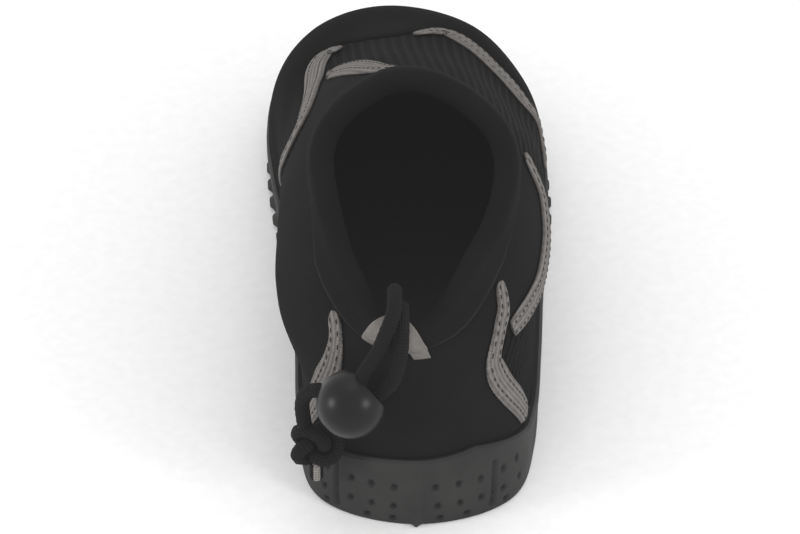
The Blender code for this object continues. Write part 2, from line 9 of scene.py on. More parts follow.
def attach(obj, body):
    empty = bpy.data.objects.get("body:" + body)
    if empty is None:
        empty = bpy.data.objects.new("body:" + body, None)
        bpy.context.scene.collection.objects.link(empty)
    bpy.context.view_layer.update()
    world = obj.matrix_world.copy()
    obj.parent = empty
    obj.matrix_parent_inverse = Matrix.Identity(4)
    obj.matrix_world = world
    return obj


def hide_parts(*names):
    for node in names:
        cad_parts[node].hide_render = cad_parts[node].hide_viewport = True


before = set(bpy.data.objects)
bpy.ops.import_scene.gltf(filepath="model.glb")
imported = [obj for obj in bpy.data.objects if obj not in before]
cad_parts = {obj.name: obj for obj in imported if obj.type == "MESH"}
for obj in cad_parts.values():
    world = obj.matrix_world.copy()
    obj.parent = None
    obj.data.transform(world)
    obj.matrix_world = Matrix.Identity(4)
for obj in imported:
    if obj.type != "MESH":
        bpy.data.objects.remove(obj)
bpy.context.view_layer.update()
print("frame loaded")

# The shoe's own measures in metres and its tables, the same as in the solids
shoe = {
    "length": 0.249, "ball": 0.093, "top": 0.091, "spring": 0.009, "springFrom": 0.76,
    "arch": 0.002, "archFrom": 0.30, "archLong": 0.24, "backset": 0.002,
    "wall": 0.0025, "lip": 0.0022, "rand": 0.0012, "gap": 0.0003, "tape": 0.0009,
    "band": 0.0105, "bandEdge": 0.0014, "bandSwell": 0.0029, "webbing": 0.0010,
    "capClear": 0.0011, "cord": 0.0045, "lockRadius": 0.0105,
    "shift": (0.00284, -0.1225, 0.0),      # heel's ground point to the middle of the shoe
}

# share of the length; half widths lateral, medial as shares of the ball: sole, foot, body, top line
sections = np.array([
    (0.00, 0.000, 0.000, 0.000, 0.000, 0.000, 0.000, -0.040, 0.040),
    (0.06, 0.337, 0.337, 0.301, 0.301, 0.258, 0.288, 0.075, 0.145),
    (0.15, 0.398, 0.392, 0.366, 0.360, 0.349, 0.418, 0.134, 0.189),
    (0.28, 0.423, 0.403, 0.392, 0.376, 0.414, 0.468, 0.199, 0.247),
    (0.42, 0.441, 0.414, 0.409, 0.387, 0.446, 0.470, 0.269, 0.288),
    (0.56, 0.466, 0.468, 0.430, 0.435, 0.446, 0.462, 0.306, 0.317),
    (0.68, 0.478, 0.511, 0.441, 0.478, 0.413, 0.440, 0.312, 0.328),
    (0.78, 0.455, 0.527, 0.424, 0.500, 0.343, 0.400, 0.285, 0.306),
    (0.87, 0.375, 0.505, 0.352, 0.478, 0.262, 0.338, 0.220, 0.253),
    (0.94, 0.262, 0.415, 0.245, 0.396, 0.182, 0.252, 0.140, 0.177),
    (1.00, -0.100, 0.100, -0.088, 0.088, -0.080, 0.080, -0.030, 0.030),
])
# level up the upper; back y, z; front y, z; weights of foot, body and top line
levels = np.array([
    (0.00, 0.014, 0.099, 0.968, 0.178, 1.00, 0.00, 0.00),
    (0.10, 0.010, 0.198, 0.980, 0.252, 1.04, 0.00, 0.00),
    (0.20, 0.007, 0.297, 0.974, 0.332, 0.88, 0.14, 0.00),
    (0.30, 0.007, 0.385, 0.930, 0.407, 0.55, 0.47, 0.00),
    (0.40, 0.009, 0.462, 0.851, 0.484, 0.18, 0.83, 0.00),
    (0.50, 0.012, 0.533, 0.771, 0.571, 0.00, 1.00, 0.00),
    (0.60, 0.015, 0.593, 0.691, 0.670, 0.00, 0.86, 0.14),
    (0.70, 0.018, 0.648, 0.618, 0.769, 0.00, 0.62, 0.38),
    (0.80, 0.021, 0.682, 0.554, 0.848, 0.00, 0.34, 0.66),
    (0.90, 0.023, 0.709, 0.498, 0.914, 0.00, 0.10, 0.90),
    (1.00, 0.024, 0.729, 0.454, 0.971, 0.00, 0.00, 1.00),
])
# share of the length, level of the rubber's top edge on the lateral and on the medial side
rubberTop = np.array([
    (0.00, 0.150, 0.150), (0.018, 0.172, 0.132), (0.045, 0.138, 0.112), (0.10, 0.078, 0.082),
    (0.16, 0.056, 0.060), (0.30, 0.050, 0.050), (0.55, 0.050, 0.050), (0.80, 0.058, 0.058),
    (0.93, 0.085, 0.085), (1.00, 0.110, 0.110),
])
# trims: u round the shoe, v up it, half width in millimetres
trimPaths = {
    "toe_trim_medial": [
        (0.578, 0.448, 1.5), (0.591, 0.413, 3.2), (0.603, 0.403, 4.2), (0.617, 0.428, 4.2),
        (0.631, 0.514, 4.0), (0.646, 0.600, 4.0), (0.663, 0.640, 3.8), (0.684, 0.612, 3.6),
        (0.703, 0.540, 3.6), (0.718, 0.440, 3.6), (0.730, 0.320, 3.6), (0.740, 0.200, 3.6),
        (0.748, 0.085, 3.6)],
    "toe_trim_lateral": [
        (0.4765, 0.481, 0.8), (0.4665, 0.447, 1.8), (0.453, 0.410, 3.2), (0.441, 0.400, 4.1),
        (0.418, 0.406, 4.4), (0.391, 0.399, 4.4), (0.3725, 0.386, 4.4), (0.3515, 0.367, 4.4),
        (0.335, 0.340, 4.2), (0.324, 0.290, 4.0), (0.315, 0.210, 3.8), (0.306, 0.088, 3.8)],
    "throat_trim": [
        (0.606, 0.582, 4.0), (0.5965, 0.596, 4.6), (0.5865, 0.631, 4.8), (0.5705, 0.703, 4.6),
        (0.556, 0.770, 4.2), (0.542, 0.828, 3.4), (0.5265, 0.868, 2.6), (0.510, 0.895, 1.6),
        (0.4985, 0.902, 0.8)],
    "side_trim": [
        (0.302, 0.768, 0.8), (0.296, 0.746, 2.6), (0.281, 0.699, 3.6), (0.262, 0.633, 3.8),
        (0.248, 0.595, 3.8), (0.229, 0.562, 3.8), (0.208, 0.533, 3.8), (0.1775, 0.522, 3.6),
        (0.157, 0.545, 3.2), (0.137, 0.567, 3.0), (0.123, 0.580, 2.6), (0.1150, 0.586, 2.2)],
    "heel_trim_lateral": [
        (0.158, 0.757, 0.8), (0.1465, 0.732, 2.2), (0.127, 0.679, 2.5), (0.109, 0.649, 2.5),
        (0.089, 0.598, 2.6), (0.0785, 0.545, 3.2), (0.0765, 0.490, 3.9), (0.0800, 0.413, 4.3),
        (0.0870, 0.304, 4.3), (0.0970, 0.205, 4.3), (0.1045, 0.124, 4.1)],
    "heel_trim_medial": [
        (0.884, 0.772, 0.7), (0.8925, 0.755, 1.8), (0.907, 0.715, 2.3), (0.918, 0.655, 2.8),
        (0.9235, 0.585, 3.3), (0.9245, 0.500, 3.9), (0.9205, 0.413, 4.3), (0.9145, 0.304, 4.3),
        (0.9055, 0.205, 4.3), (0.8970, 0.127, 4.0)],
}
trimPaths = {name: np.array(rows) for name, rows in trimPaths.items()}
capTop = [(0.481, 0.462), (0.498, 0.498), (0.522, 0.504), (0.550, 0.472), (0.570, 0.424)]
capFoot = (0.3185, 0.7320)

# The shoe's form


def smoothCurve(knots, values, at):
    step = np.diff(knots)
    grade = np.diff(values) / step
    middle = (grade[:-1] * step[1:] + grade[1:] * step[:-1]) / (step[:-1] + step[1:])
    slope = np.concatenate((grade[:1], middle, grade[-1:]))
    i = np.clip(np.searchsorted(knots, at, side="right") - 1, 0, len(knots) - 2)
    h = step[i]
    f = (at - knots[i]) / h
    return ((2 * f ** 3 - 3 * f ** 2 + 1) * values[i] + (f ** 3 - 2 * f ** 2 + f) * h * slope[i]
            + (3 * f ** 2 - 2 * f ** 3) * values[i + 1] + (f ** 3 - f ** 2) * h * slope[i + 1])


def lengthShare(u):
    return (1 - np.cos(2 * np.pi * u)) / 2


def toeShare(t):
    # how far the toe is turned up, 0 behind the ball to 1 at the tip
    return np.clip((t - shoe["springFrom"]) / (1 - shoe["springFrom"]), 0, None) ** 2


def widthLoop(column):
    turns = np.arccos(1 - 2 * sections[:, 0]) / (2 * np.pi)
    knots = np.concatenate((turns, 1 - turns[-2:0:-1]))
    widths = np.concatenate((sections[:, column], -sections[-2:0:-1, column + 1]))
    return (np.concatenate((knots[-3:] - 1, knots, knots[:3] + 1)),
            np.concatenate((widths[-3:], widths, widths[:3])))


widthLoops = {kind: widthLoop(column) for kind, column in
              (("sole", 1), ("foot", 3), ("body", 5), ("top", 7))}


def halfWidth(kind, u):
    knots, widths = widthLoops[kind]
    return shoe["ball"] * smoothCurve(knots, widths, np.mod(u, 1.0))


def skin(u, v):
    # outer face of the upper, u round the shoe from the heel by the lateral side, v up it
    u, v = np.broadcast_arrays(np.asarray(u, float), np.asarray(v, float))
    t = lengthShare(u)
    backY, backZ, frontY, frontZ, foot, body, top = (
        smoothCurve(levels[:, 0], levels[:, k], v) for k in range(1, 8))
    x = foot * halfWidth("foot", u) + body * halfWidth("body", u) + top * halfWidth("top", u)
    sag = shoe["spring"] * (t - toeShare(t))
    z = shoe["top"] * (backZ + (frontZ - backZ) * t) - sag * np.clip(1 - v / 0.4, 0, None) ** 2
    return np.stack((x, shoe["length"] * (backY + (frontY - backY) * t), z), -1)


def unit(vectors):
    return vectors / np.linalg.norm(vectors, axis=-1, keepdims=True)


def skinFrame(u, v):
    d = 0.004
    low, high = np.clip(v - d, 0, None), np.clip(v + d, None, 1)
    around = (skin(u + d, v) - skin(u - d, v)) / (2 * d)
    upward = (skin(u, high) - skin(u, low)) / np.asarray(high - low)[..., None]
    return skin(u, v), around, upward, unit(np.cross(around, upward))


def lifted(u, v, off):
    # point of the shoe at a height over the upper's face, in the part's own place
    u, v = np.broadcast_arrays(np.asarray(u, float), np.asarray(v, float))
    point, _, _, normal = skinFrame(u, v)
    return point + normal * np.asarray(off)[..., None] + shoe["shift"]


def rubberLevel(u):
    lateral, medial = (np.interp(lengthShare(u), rubberTop[:, 0], rubberTop[:, k]) for k in (1, 2))
    return np.where(np.mod(u, 1.0) <= 0.5, lateral, medial)


def seamLevel(u):
    one = np.ones_like(u)
    reach = np.linalg.norm(skin(u, one) - skin(u, one * 0.86), axis=-1) / 0.14
    return np.maximum(0.79, 1 - shoe["band"] / reach)


def soleRise(t):
    waist = np.clip((t - shoe["archFrom"]) / shoe["archLong"], 0, 1)
    return shoe["spring"] * toeShare(t) + shoe["arch"] * np.sin(np.pi * waist) ** 2


def soleEdge(u, inset, z):
    # the sole's outline moved inward, at a height over its underside
    def flat(w):
        return np.stack((halfWidth("sole", w), shoe["length"] * lengthShare(w) - shoe["backset"], 0 * w), -1)
    along = flat(u + 0.004) - flat(u - 0.004)
    inward = unit(np.stack((-along[..., 1], along[..., 0], 0 * u), -1))
    point = flat(u) + inward * np.asarray(inset)[..., None]
    point[..., 2] = soleRise(lengthShare(u)) + z
    return point + shoe["shift"]


def trimRow(path, s):
    at = s * (len(path) - 1)
    rows = np.arange(len(path), dtype=float)
    return [smoothCurve(rows, path[:, k], at) for k in range(3)]


def trimSpot(path, s, shift):
    # u and v beside a trim's middle line, shift metres to the left of its run
    u, v, _ = trimRow(path, s)
    ahead, behind = trimRow(path, np.clip(s + 0.01, 0, 1)), trimRow(path, np.clip(s - 0.01, 0, 1))
    _, around, upward, normal = skinFrame(u, v)
    along = around * (ahead[0] - behind[0])[..., None] + upward * (ahead[1] - behind[1])[..., None]
    left = unit(np.cross(normal, along))
    aa, bb, ab = ((p * q).sum(-1) for p, q in ((around, around), (upward, upward), (around, upward)))
    ca, cb = (left * around).sum(-1), (left * upward).sum(-1)
    det = aa * bb - ab * ab
    return u + shift * (ca * bb - cb * ab) / det, v + shift * (cb * aa - ca * ab) / det


def runLength(points):
    # distance along a row of points
    return np.concatenate(([0.0], np.cumsum(np.linalg.norm(np.diff(points, axis=0), axis=1))))


# Finishes


def linearColour(hexValue):
    parts = [int(hexValue[k:k + 2], 16) / 255 for k in (1, 3, 5)]
    return [p / 12.92 if p <= 0.04045 else ((p + 0.055) / 1.055) ** 2.4 for p in parts] + [1.0]


def addNode(tree, kind, inputs, output=0, **settings):
    # one node and the output asked for; an input is a value, or another node's output to link
    node = tree.nodes.new(kind)
    for key, value in settings.items():
        setattr(node, key, value)
    for socket, value in inputs.items():
        if isinstance(value, bpy.types.NodeSocket):
            tree.links.new(value, node.inputs[socket])
        else:
            node.inputs[socket].default_value = value
    return node.outputs[output]


def newFinish(name, sockets):
    finish = bpy.data.materials.new(name)
    finish.use_nodes = True
    shader = finish.node_tree.nodes["Principled BSDF"]
    for socket, value in sockets.items():
        shader.inputs[socket].default_value = value
    return finish, finish.node_tree, shader


def dressSurface(tree, shader, amount, dark, light, height, depthMm):
    # colour from dark at amount 0 to light at 1, and a relief as deep as given
    colour = addNode(tree, "ShaderNodeMix", {0: amount, 6: linearColour(dark), 7: linearColour(light)}, 2,
                     data_type='RGBA')
    relief = addNode(tree, "ShaderNodeBump", {"Height": height, "Distance": depthMm / 1000, "Strength": 1.0})
    tree.links.new(colour, shader.inputs["Base Color"])
    tree.links.new(relief, shader.inputs["Normal"])
    return colour


def threadsEvery(tree, distance, pitchMm):
    # even waves from -1 to 1, one for each thread or rib
    turns = addNode(tree, "ShaderNodeMath", {0: distance, 1: 2 * math.pi / pitchMm}, operation='MULTIPLY')
    return addNode(tree, "ShaderNodeMath", {0: turns}, operation='COSINE')


def makeNeoprene(name, dark, light, knitMm=1.1):
    # foam rubber faced with brushed nylon jersey: fully matt, soft, slightly mottled
    finish, tree, shader = newFinish(name, {"Roughness": 0.95, "Specular IOR Level": 0.05})
    place = addNode(tree, "ShaderNodeTexCoord", {}, "Object")
    patches = addNode(tree, "ShaderNodeTexNoise", {"Vector": place, "Scale": 1000 / 28, "Detail": 3.0})
    # jersey loops are 0.4 mm, too fine to show, so they are drawn at about 1 mm
    loops = addNode(tree, "ShaderNodeTexNoise", {"Vector": place, "Scale": 1000 / knitMm, "Detail": 2.0})
    mottle = addNode(tree, "ShaderNodeMix", {0: 0.3, 2: patches, 3: loops})
    amount = addNode(tree, "ShaderNodeMapRange", {"Value": mottle, "From Min": 0.32, "From Max": 0.68})
    dressSurface(tree, shader, amount, dark, light, loops, 0.14)
    return finish


def makeBinding(name, dark, light, edgeMm, insideMm):
    # jersey folded over the opening: a painted highlight along its outer crest, and painted shade darkening
    # its inner face
    finish = makeNeoprene(name, dark, light, 1.3)
    tree, shader = finish.node_tree, finish.node_tree.nodes["Principled BSDF"]
    cloth = addNode(tree, "ShaderNodeUVMap", {}, uv_map="cloth")
    across = addNode(tree, "ShaderNodeSeparateXYZ", {"Vector": cloth}, "Y")
    past = addNode(tree, "ShaderNodeMath", {0: across, 1: edgeMm}, operation='SUBTRACT')
    fromEdge = addNode(tree, "ShaderNodeMath", {0: past}, operation='ABSOLUTE')
    # painted highlight: the colour is raised up to 2.6 times along the crest line
    paintedHighlight = addNode(tree, "ShaderNodeMapRange", {"Value": fromEdge, "From Min": 0.4, "From Max": 1.3,
                                                  "To Min": 2.6, "To Max": 1.0})
    # painted shade: the inner face darkens to 0.3 of its colour across insideMm
    inside = addNode(tree, "ShaderNodeMapRange", {"Value": across, "From Min": insideMm[0],
                                                  "From Max": insideMm[1], "To Min": 1.0, "To Max": 0.3})
    # painted highlight and painted shade together, multiplied into the jersey colour
    wearAndPaintedLight = addNode(tree, "ShaderNodeMath", {0: paintedHighlight, 1: inside}, operation='MULTIPLY')
    jersey = shader.inputs["Base Color"].links[0].from_socket
    shaded = addNode(tree, "ShaderNodeMix", {0: 1.0, 6: jersey, 7: wearAndPaintedLight}, 2,
                     data_type='RGBA', blend_type='MULTIPLY')
    tree.links.new(shaded, shader.inputs["Base Color"])
    return finish


def makeRibbedMesh(name):
    # warp-knitted spacer mesh: raised lengthwise ribs 3.5 mm apart with open holes between them
    finish, tree, shader = newFinish(name, {"Roughness": 0.92, "Specular IOR Level": 0.05})
    cloth = addNode(tree, "ShaderNodeUVMap", {}, uv_map="cloth")
    across, along = (addNode(tree, "ShaderNodeSeparateXYZ", {"Vector": cloth}, way) for way in "XY")
    wobble = addNode(tree, "ShaderNodeTexNoise", {"Vector": cloth, "Scale": 1 / 4, "Detail": 1.0})
    across = addNode(tree, "ShaderNodeMath", {0: wobble, 1: 0.25, 2: across}, operation='MULTIPLY_ADD')
    ribs = addNode(tree, "ShaderNodeMapRange", {"Value": threadsEvery(tree, across, 3.5),
                                                "From Min": -0.7, "From Max": 0.9})
    rungs = addNode(tree, "ShaderNodeMapRange", {"Value": threadsEvery(tree, along, 1.7),
                                                 "From Min": -0.2, "From Max": 0.9})
    between = addNode(tree, "ShaderNodeMath", {0: 1.0, 1: ribs}, operation='SUBTRACT')
    holes = addNode(tree, "ShaderNodeMath", {0: rungs, 1: between}, operation='MULTIPLY')
    height = addNode(tree, "ShaderNodeMath", {0: holes, 1: -0.6, 2: ribs}, operation='MULTIPLY_ADD')
    amount = addNode(tree, "ShaderNodeMapRange", {"Value": height, "From Min": -0.5, "From Max": 1.0})
    # the colour follows the relief: painted highlight on the rib tops and painted shade in the holes
    dressSurface(tree, shader, amount, "#010101", "#131313", height, 0.55)
    return finish


def makeLining(name):
    # brushed nylon lining: very matt, coloured grey instead of black as painted light, so that the shade
    # inside the shoe never goes fully dark
    finish, tree, shader = newFinish(name, {"Roughness": 0.96, "Specular IOR Level": 0.1})
    place = addNode(tree, "ShaderNodeTexCoord", {}, "Object")
    nap = addNode(tree, "ShaderNodeTexNoise", {"Vector": place, "Scale": 1000 / 1.4, "Detail": 3.0})
    amount = addNode(tree, "ShaderNodeMapRange", {"Value": nap, "From Min": 0.35, "From Max": 0.65})
    # painted light: grey lining colour lifting the shade inside the shoe
    dressSurface(tree, shader, amount, "#2e2e2e", "#363636", nap, 0.12)
    return finish


def makeToeFabric(name):
    # polyurethane-coated polyester: smooth, half matt, with a fine plain grain
    finish, tree, shader = newFinish(name, {"Roughness": 0.8, "Specular IOR Level": 0.02})
    place = addNode(tree, "ShaderNodeTexCoord", {}, "Object")
    patches = addNode(tree, "ShaderNodeTexNoise", {"Vector": place, "Scale": 1000 / 35, "Detail": 2.0})
    grain = addNode(tree, "ShaderNodeTexNoise", {"Vector": place, "Scale": 1000 / 0.8, "Detail": 2.0})
    amount = addNode(tree, "ShaderNodeMapRange", {"Value": patches, "From Min": 0.35, "From Max": 0.65})
    dressSurface(tree, shader, amount, "#0a0a0a", "#0e0e0d", grain, 0.06)
    return finish


def makeRubber(name):
    # compression-moulded rubber: dull grey bloom over black, with painted shade darkening the moulded pits
    finish, tree, shader = newFinish(name, {"Roughness": 0.68, "Specular IOR Level": 0.2})
    place = addNode(tree, "ShaderNodeTexCoord", {}, "Object")
    patches = addNode(tree, "ShaderNodeTexNoise", {"Vector": place, "Scale": 1000 / 18, "Detail": 4.0})
    grain = addNode(tree, "ShaderNodeTexNoise", {"Vector": place, "Scale": 1000 / 0.7, "Detail": 3.0})
    pits = addNode(tree, "ShaderNodeAttribute", {}, "Fac", attribute_name="pit")
    bloom = addNode(tree, "ShaderNodeMapRange", {"Value": patches, "From Min": 0.3, "From Max": 0.7})
    # grey bloom, and painted shade that drops the colour to its dark end in the pits
    bloomAndPitShade = addNode(tree, "ShaderNodeMath", {0: pits, 1: -3.0, 2: bloom}, operation='MULTIPLY_ADD')
    skinned = dressSurface(tree, shader, bloomAndPitShade, "#242424", "#2f2f2e", grain, 0.07)
    # painted shade: the pits are mixed towards near black
    pitted = addNode(tree, "ShaderNodeMix", {0: pits, 6: skinned, 7: linearColour("#0c0c0c")}, 2,
                     data_type='RGBA')
    tree.links.new(pitted, shader.inputs["Base Color"])
    return finish


def makeTape(name):
    # overlocked polyester tape: pale grey cords laid side by side under fine cross threads
    finish, tree, shader = newFinish(name, {"Roughness": 0.85, "Specular IOR Level": 0.2})
    cloth = addNode(tree, "ShaderNodeUVMap", {}, uv_map="cloth")
    along, across = (addNode(tree, "ShaderNodeSeparateXYZ", {"Vector": cloth}, way) for way in "XY")
    # cross threads are 0.3 mm, drawn at 0.75 mm so that they show
    height = addNode(tree, "ShaderNodeMath", {0: threadsEvery(tree, along, 0.75), 1: 0.35,
                                              2: threadsEvery(tree, across, 1.45)}, operation='MULTIPLY_ADD')
    wear = addNode(tree, "ShaderNodeTexNoise", {"Vector": cloth, "Scale": 1 / 2, "Detail": 3.0})
    yarn = addNode(tree, "ShaderNodeMapRange", {"Value": height, "From Min": -1.2, "From Max": 0.6})
    wearAndPaintedLight = addNode(tree, "ShaderNodeMapRange", {"Value": wear, "From Min": 0.3, "From Max": 0.7})
    amount = addNode(tree, "ShaderNodeMix", {0: 0.4, 2: yarn, 3: wearAndPaintedLight})
    dressSurface(tree, shader, amount, "#494644", "#7a7673", height, 0.12)
    return finish


def makeWebbing(name):
    # plain-woven polyester webbing with yarns 0.8 mm apart: pale, slightly silky
    finish, tree, shader = newFinish(name, {"Roughness": 0.6, "Specular IOR Level": 0.3})
    cloth = addNode(tree, "ShaderNodeUVMap", {}, uv_map="cloth")
    warp, weft = (threadsEvery(tree, addNode(tree, "ShaderNodeSeparateXYZ", {"Vector": cloth}, way), 0.8)
                  for way in "XY")
    height = addNode(tree, "ShaderNodeMath", {0: warp, 1: weft}, operation='MULTIPLY')
    wear = addNode(tree, "ShaderNodeTexNoise", {"Vector": cloth, "Scale": 0.3, "Detail": 2.0})
    yarn = addNode(tree, "ShaderNodeMapRange", {"Value": height, "From Min": -1.0, "From Max": 1.0})
    wearAndPaintedLight = addNode(tree, "ShaderNodeMapRange", {"Value": wear, "From Min": 0.3, "From Max": 0.7})
    amount = addNode(tree, "ShaderNodeMix", {0: 0.65, 2: yarn, 3: wearAndPaintedLight})
    dressSurface(tree, shader, amount, "#67635f", "#7e7a76", height, 0.07)
    return finish


def makeBraid(name, dark, light):
    # round braided polyester cord: yarns crossing on the slant, 1.77 mm apart
    finish, tree, shader = newFinish(name, {"Roughness": 0.8, "Specular IOR Level": 0.1})
    cloth = addNode(tree, "ShaderNodeUVMap", {}, uv_map="cloth")
    along, around = (addNode(tree, "ShaderNodeSeparateXYZ", {"Vector": cloth}, way) for way in "XY")
    slants = (addNode(tree, "ShaderNodeMath", {0: along, 1: around}, operation=way)
              for way in ('ADD', 'SUBTRACT'))
    one, two = (threadsEvery(tree, slant, 1.77) for slant in slants)
    plait = addNode(tree, "ShaderNodeMath", {0: one, 1: two}, operation='MULTIPLY')
    amount = addNode(tree, "ShaderNodeMapRange", {"Value": plait, "From Min": -1.0, "From Max": 1.0})
    dressSurface(tree, shader, amount, dark, light, plait, 0.22)
    return finish


def makePlain(name, dark, light, grainMm, depthMm, sockets):
    # one even surface with a fine grain
    finish, tree, shader = newFinish(name, sockets)
    place = addNode(tree, "ShaderNodeTexCoord", {}, "Object")
    grain = addNode(tree, "ShaderNodeTexNoise", {"Vector": place, "Scale": 1000 / grainMm, "Detail": 2.0})
    amount = addNode(tree, "ShaderNodeMapRange", {"Value": grain, "From Min": 0.3, "From Max": 0.7})
    dressSurface(tree, shader, amount, dark, light, grain, depthMm)
    return finish


finishes = {
    "neoprene": makeNeoprene("brushed black neoprene", "#131313", "#191919"),
    # band: painted highlight 3.4 mm across at the crest, painted shade from 11 to 22 mm across
    "band": makeBinding("folded neoprene band", "#101010", "#161616", edgeMm=3.4, insideMm=(11.0, 22.0)),
    "ribbedMesh": makeRibbedMesh("ribbed spacer mesh"),
    "lining": makeLining("brushed nylon lining"),
    "toeFabric": makeToeFabric("coated toe fabric"),
    "rubber": makeRubber("moulded grey rubber"),
    "tape": makeTape("overlocked grey tape"),
    "webbing": makeWebbing("woven pale webbing"),
    "cord": makeBraid("braided black cord", "#0a0a0a", "#191919"),
    "tip": makeBraid("bound pale cord tip", "#6c6864", "#97928e"),
    # bonded nylon thread: dark, slightly glossy
    "thread": makePlain("bonded nylon thread", "#1c1a19", "#282625", 0.5, 0.03,
                        {"Roughness": 0.6, "Specular IOR Level": 0.2}),
    # injection-moulded ABS, polished: soft round highlights
    "lockPlastic": makePlain("moulded ABS plastic", "#060606", "#080808", 2.0, 0.01,
                             {"Roughness": 0.34, "IOR": 1.45, "Specular IOR Level": 0.25}),
    # die-cut EVA foam under a nylon face: flat and dark
    "insole": makePlain("insole foam", "#262626", "#2e2e2e", 1.5, 0.08,
                        {"Roughness": 0.95, "Specular IOR Level": 0.1}),
}
print("finishes made:", len(finishes))

# Pieces


def bentGrid(cells, bend, wrap=False):
    # a flat grid bent to shape; bend takes shares 0 to 1 both ways, gives points and cloth millimetres
    bm = bmesh.new()
    bmesh.ops.create_grid(bm, x_segments=cells[0], y_segments=cells[1], size=1.0)
    bm.verts.index_update()
    flat = np.array([v.co[:2] for v in bm.verts]) * 0.5 + 0.5
    points, cloth = bend(flat[:, 0], flat[:, 1])
    layer = bm.loops.layers.uv.new("cloth")
    for face in bm.faces:
        for loop in face.loops:
            loop[layer].uv = cloth[loop.vert.index]
    for vert, point in zip(bm.verts, points):
        vert.co = point
    if wrap:
        bmesh.ops.remove_doubles(bm, verts=bm.verts[:], dist=2e-6)
    return bm


def makePiece(bm, name, finish, stands=(), crease=40.0, outward=False):
    if outward:
        bmesh.ops.recalc_face_normals(bm, faces=bm.faces[:])
    for face in bm.faces:
        face.smooth = True
    for edge in bm.edges:
        if edge.is_manifold and edge.calc_face_angle(0.0) > math.radians(crease):
            edge.smooth = False
    mesh = bpy.data.meshes.new(name)
    bm.to_mesh(mesh)
    bm.free()
    for one in (finish if isinstance(finish, (list, tuple)) else [finish]):
        mesh.materials.append(one)
    piece = bpy.data.objects.new(name, mesh)
    bpy.context.scene.collection.objects.link(piece)
    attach(piece, "root")
    if stands:
        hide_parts(*stands)
    print(name, "faces:", len(mesh.polygons))
    return piece


def thicken(piece, metres, linings=0):
    mod = piece.modifiers.new("wall", 'SOLIDIFY')
    mod.thickness = metres
    mod.offset = -1.0
    mod.use_even_offset = False
    mod.material_offset = linings
    return piece


# Camera at the photograph's angle: behind the heel, 36 degrees up
viewpoint = {"target": (-0.00216, -0.04604, 0.04064), "distance": 1.4, "elevation": 36.0, "lens": 199.7}
cameraData = bpy.data.cameras.new("camera")
cameraData.lens = viewpoint["lens"]
cameraData.sensor_width = 36.0
cameraData.clip_start, cameraData.clip_end = 0.05, 20.0
camera = bpy.data.objects.new("camera", cameraData)
bpy.context.scene.collection.objects.link(camera)
tilt = math.radians(viewpoint["elevation"])
backward = Vector((0, -math.cos(tilt), math.sin(tilt)))
camera.location = Vector(viewpoint["target"]) + backward * viewpoint["distance"]
camera.rotation_euler = (-backward).to_track_quat('-Z', 'Y').to_euler()
bpy.context.scene.camera = camera
print("camera set")

# Drawcord: two strands over the heel's notch into the ball, one tail on to the knot
drawcord = {
    "ballAt": (-0.0196, -0.0052, 0.0493), "shelfWay": (0.755, 0.386, 0.531),
    "medial": [(-0.0066, 0.0214, 0.0600), (-0.0066, 0.0214, 0.0670), (-0.0066, 0.0188, 0.0734),
               (-0.0066, 0.0112, 0.0784), (-0.0069, 0.0032, 0.0773), (-0.0093, -0.0012, 0.0722),
               (-0.0120, -0.0030, 0.0662), (-0.0158, -0.0046, 0.0604), (-0.0182, -0.0050, 0.0545)],
    "lateral": [(-0.0044, 0.0166, 0.0575), (-0.0044, 0.0168, 0.0640), (-0.0044, 0.0150, 0.0694),
                (-0.0044, 0.0094, 0.0735), (-0.0044, 0.0026, 0.0721), (-0.0047, -0.0024, 0.0672),
                (-0.0058, -0.0043, 0.0617), (-0.0079, -0.0052, 0.0566), (-0.0134, -0.0054, 0.0513)],
    "tail": [(-0.0246, -0.0034, 0.0508), (-0.0296, -0.0010, 0.0512), (-0.0330, 0.0012, 0.0484),
             (-0.0345, 0.0028, 0.0434), (-0.0343, 0.0038, 0.0375), (-0.0336, 0.0040, 0.0318)],
    "knotAt": (-0.0307, 0.0038, 0.0268), "tipAt": (-0.0305, 0.0034, 0.0172),
    "braidPitch": 0.005, "braidDepth": 0.05,
    # the ball's shelf: how far out it is cut in radii, then the width and depth of its two steps
    "shelfCut": 0.66, "shelfSteps": ((0.0012, 0.0009), (0.0016, 0.0012)),
    "knotSize": (0.00225, 0.0030, 0.00205), "tipWidth": 0.0042, "tipHalf": 0.00375, "tipCore": 0.0010,
}


def routeThrough(points, count):
    # a smooth line through given points, moved to the part's own place
    points = np.array(points)
    rows = np.arange(len(points), dtype=float)
    at = np.linspace(0, len(points) - 1, count)
    return np.stack([smoothCurve(rows, points[:, k], at) for k in range(3)], -1) + shoe["shift"]


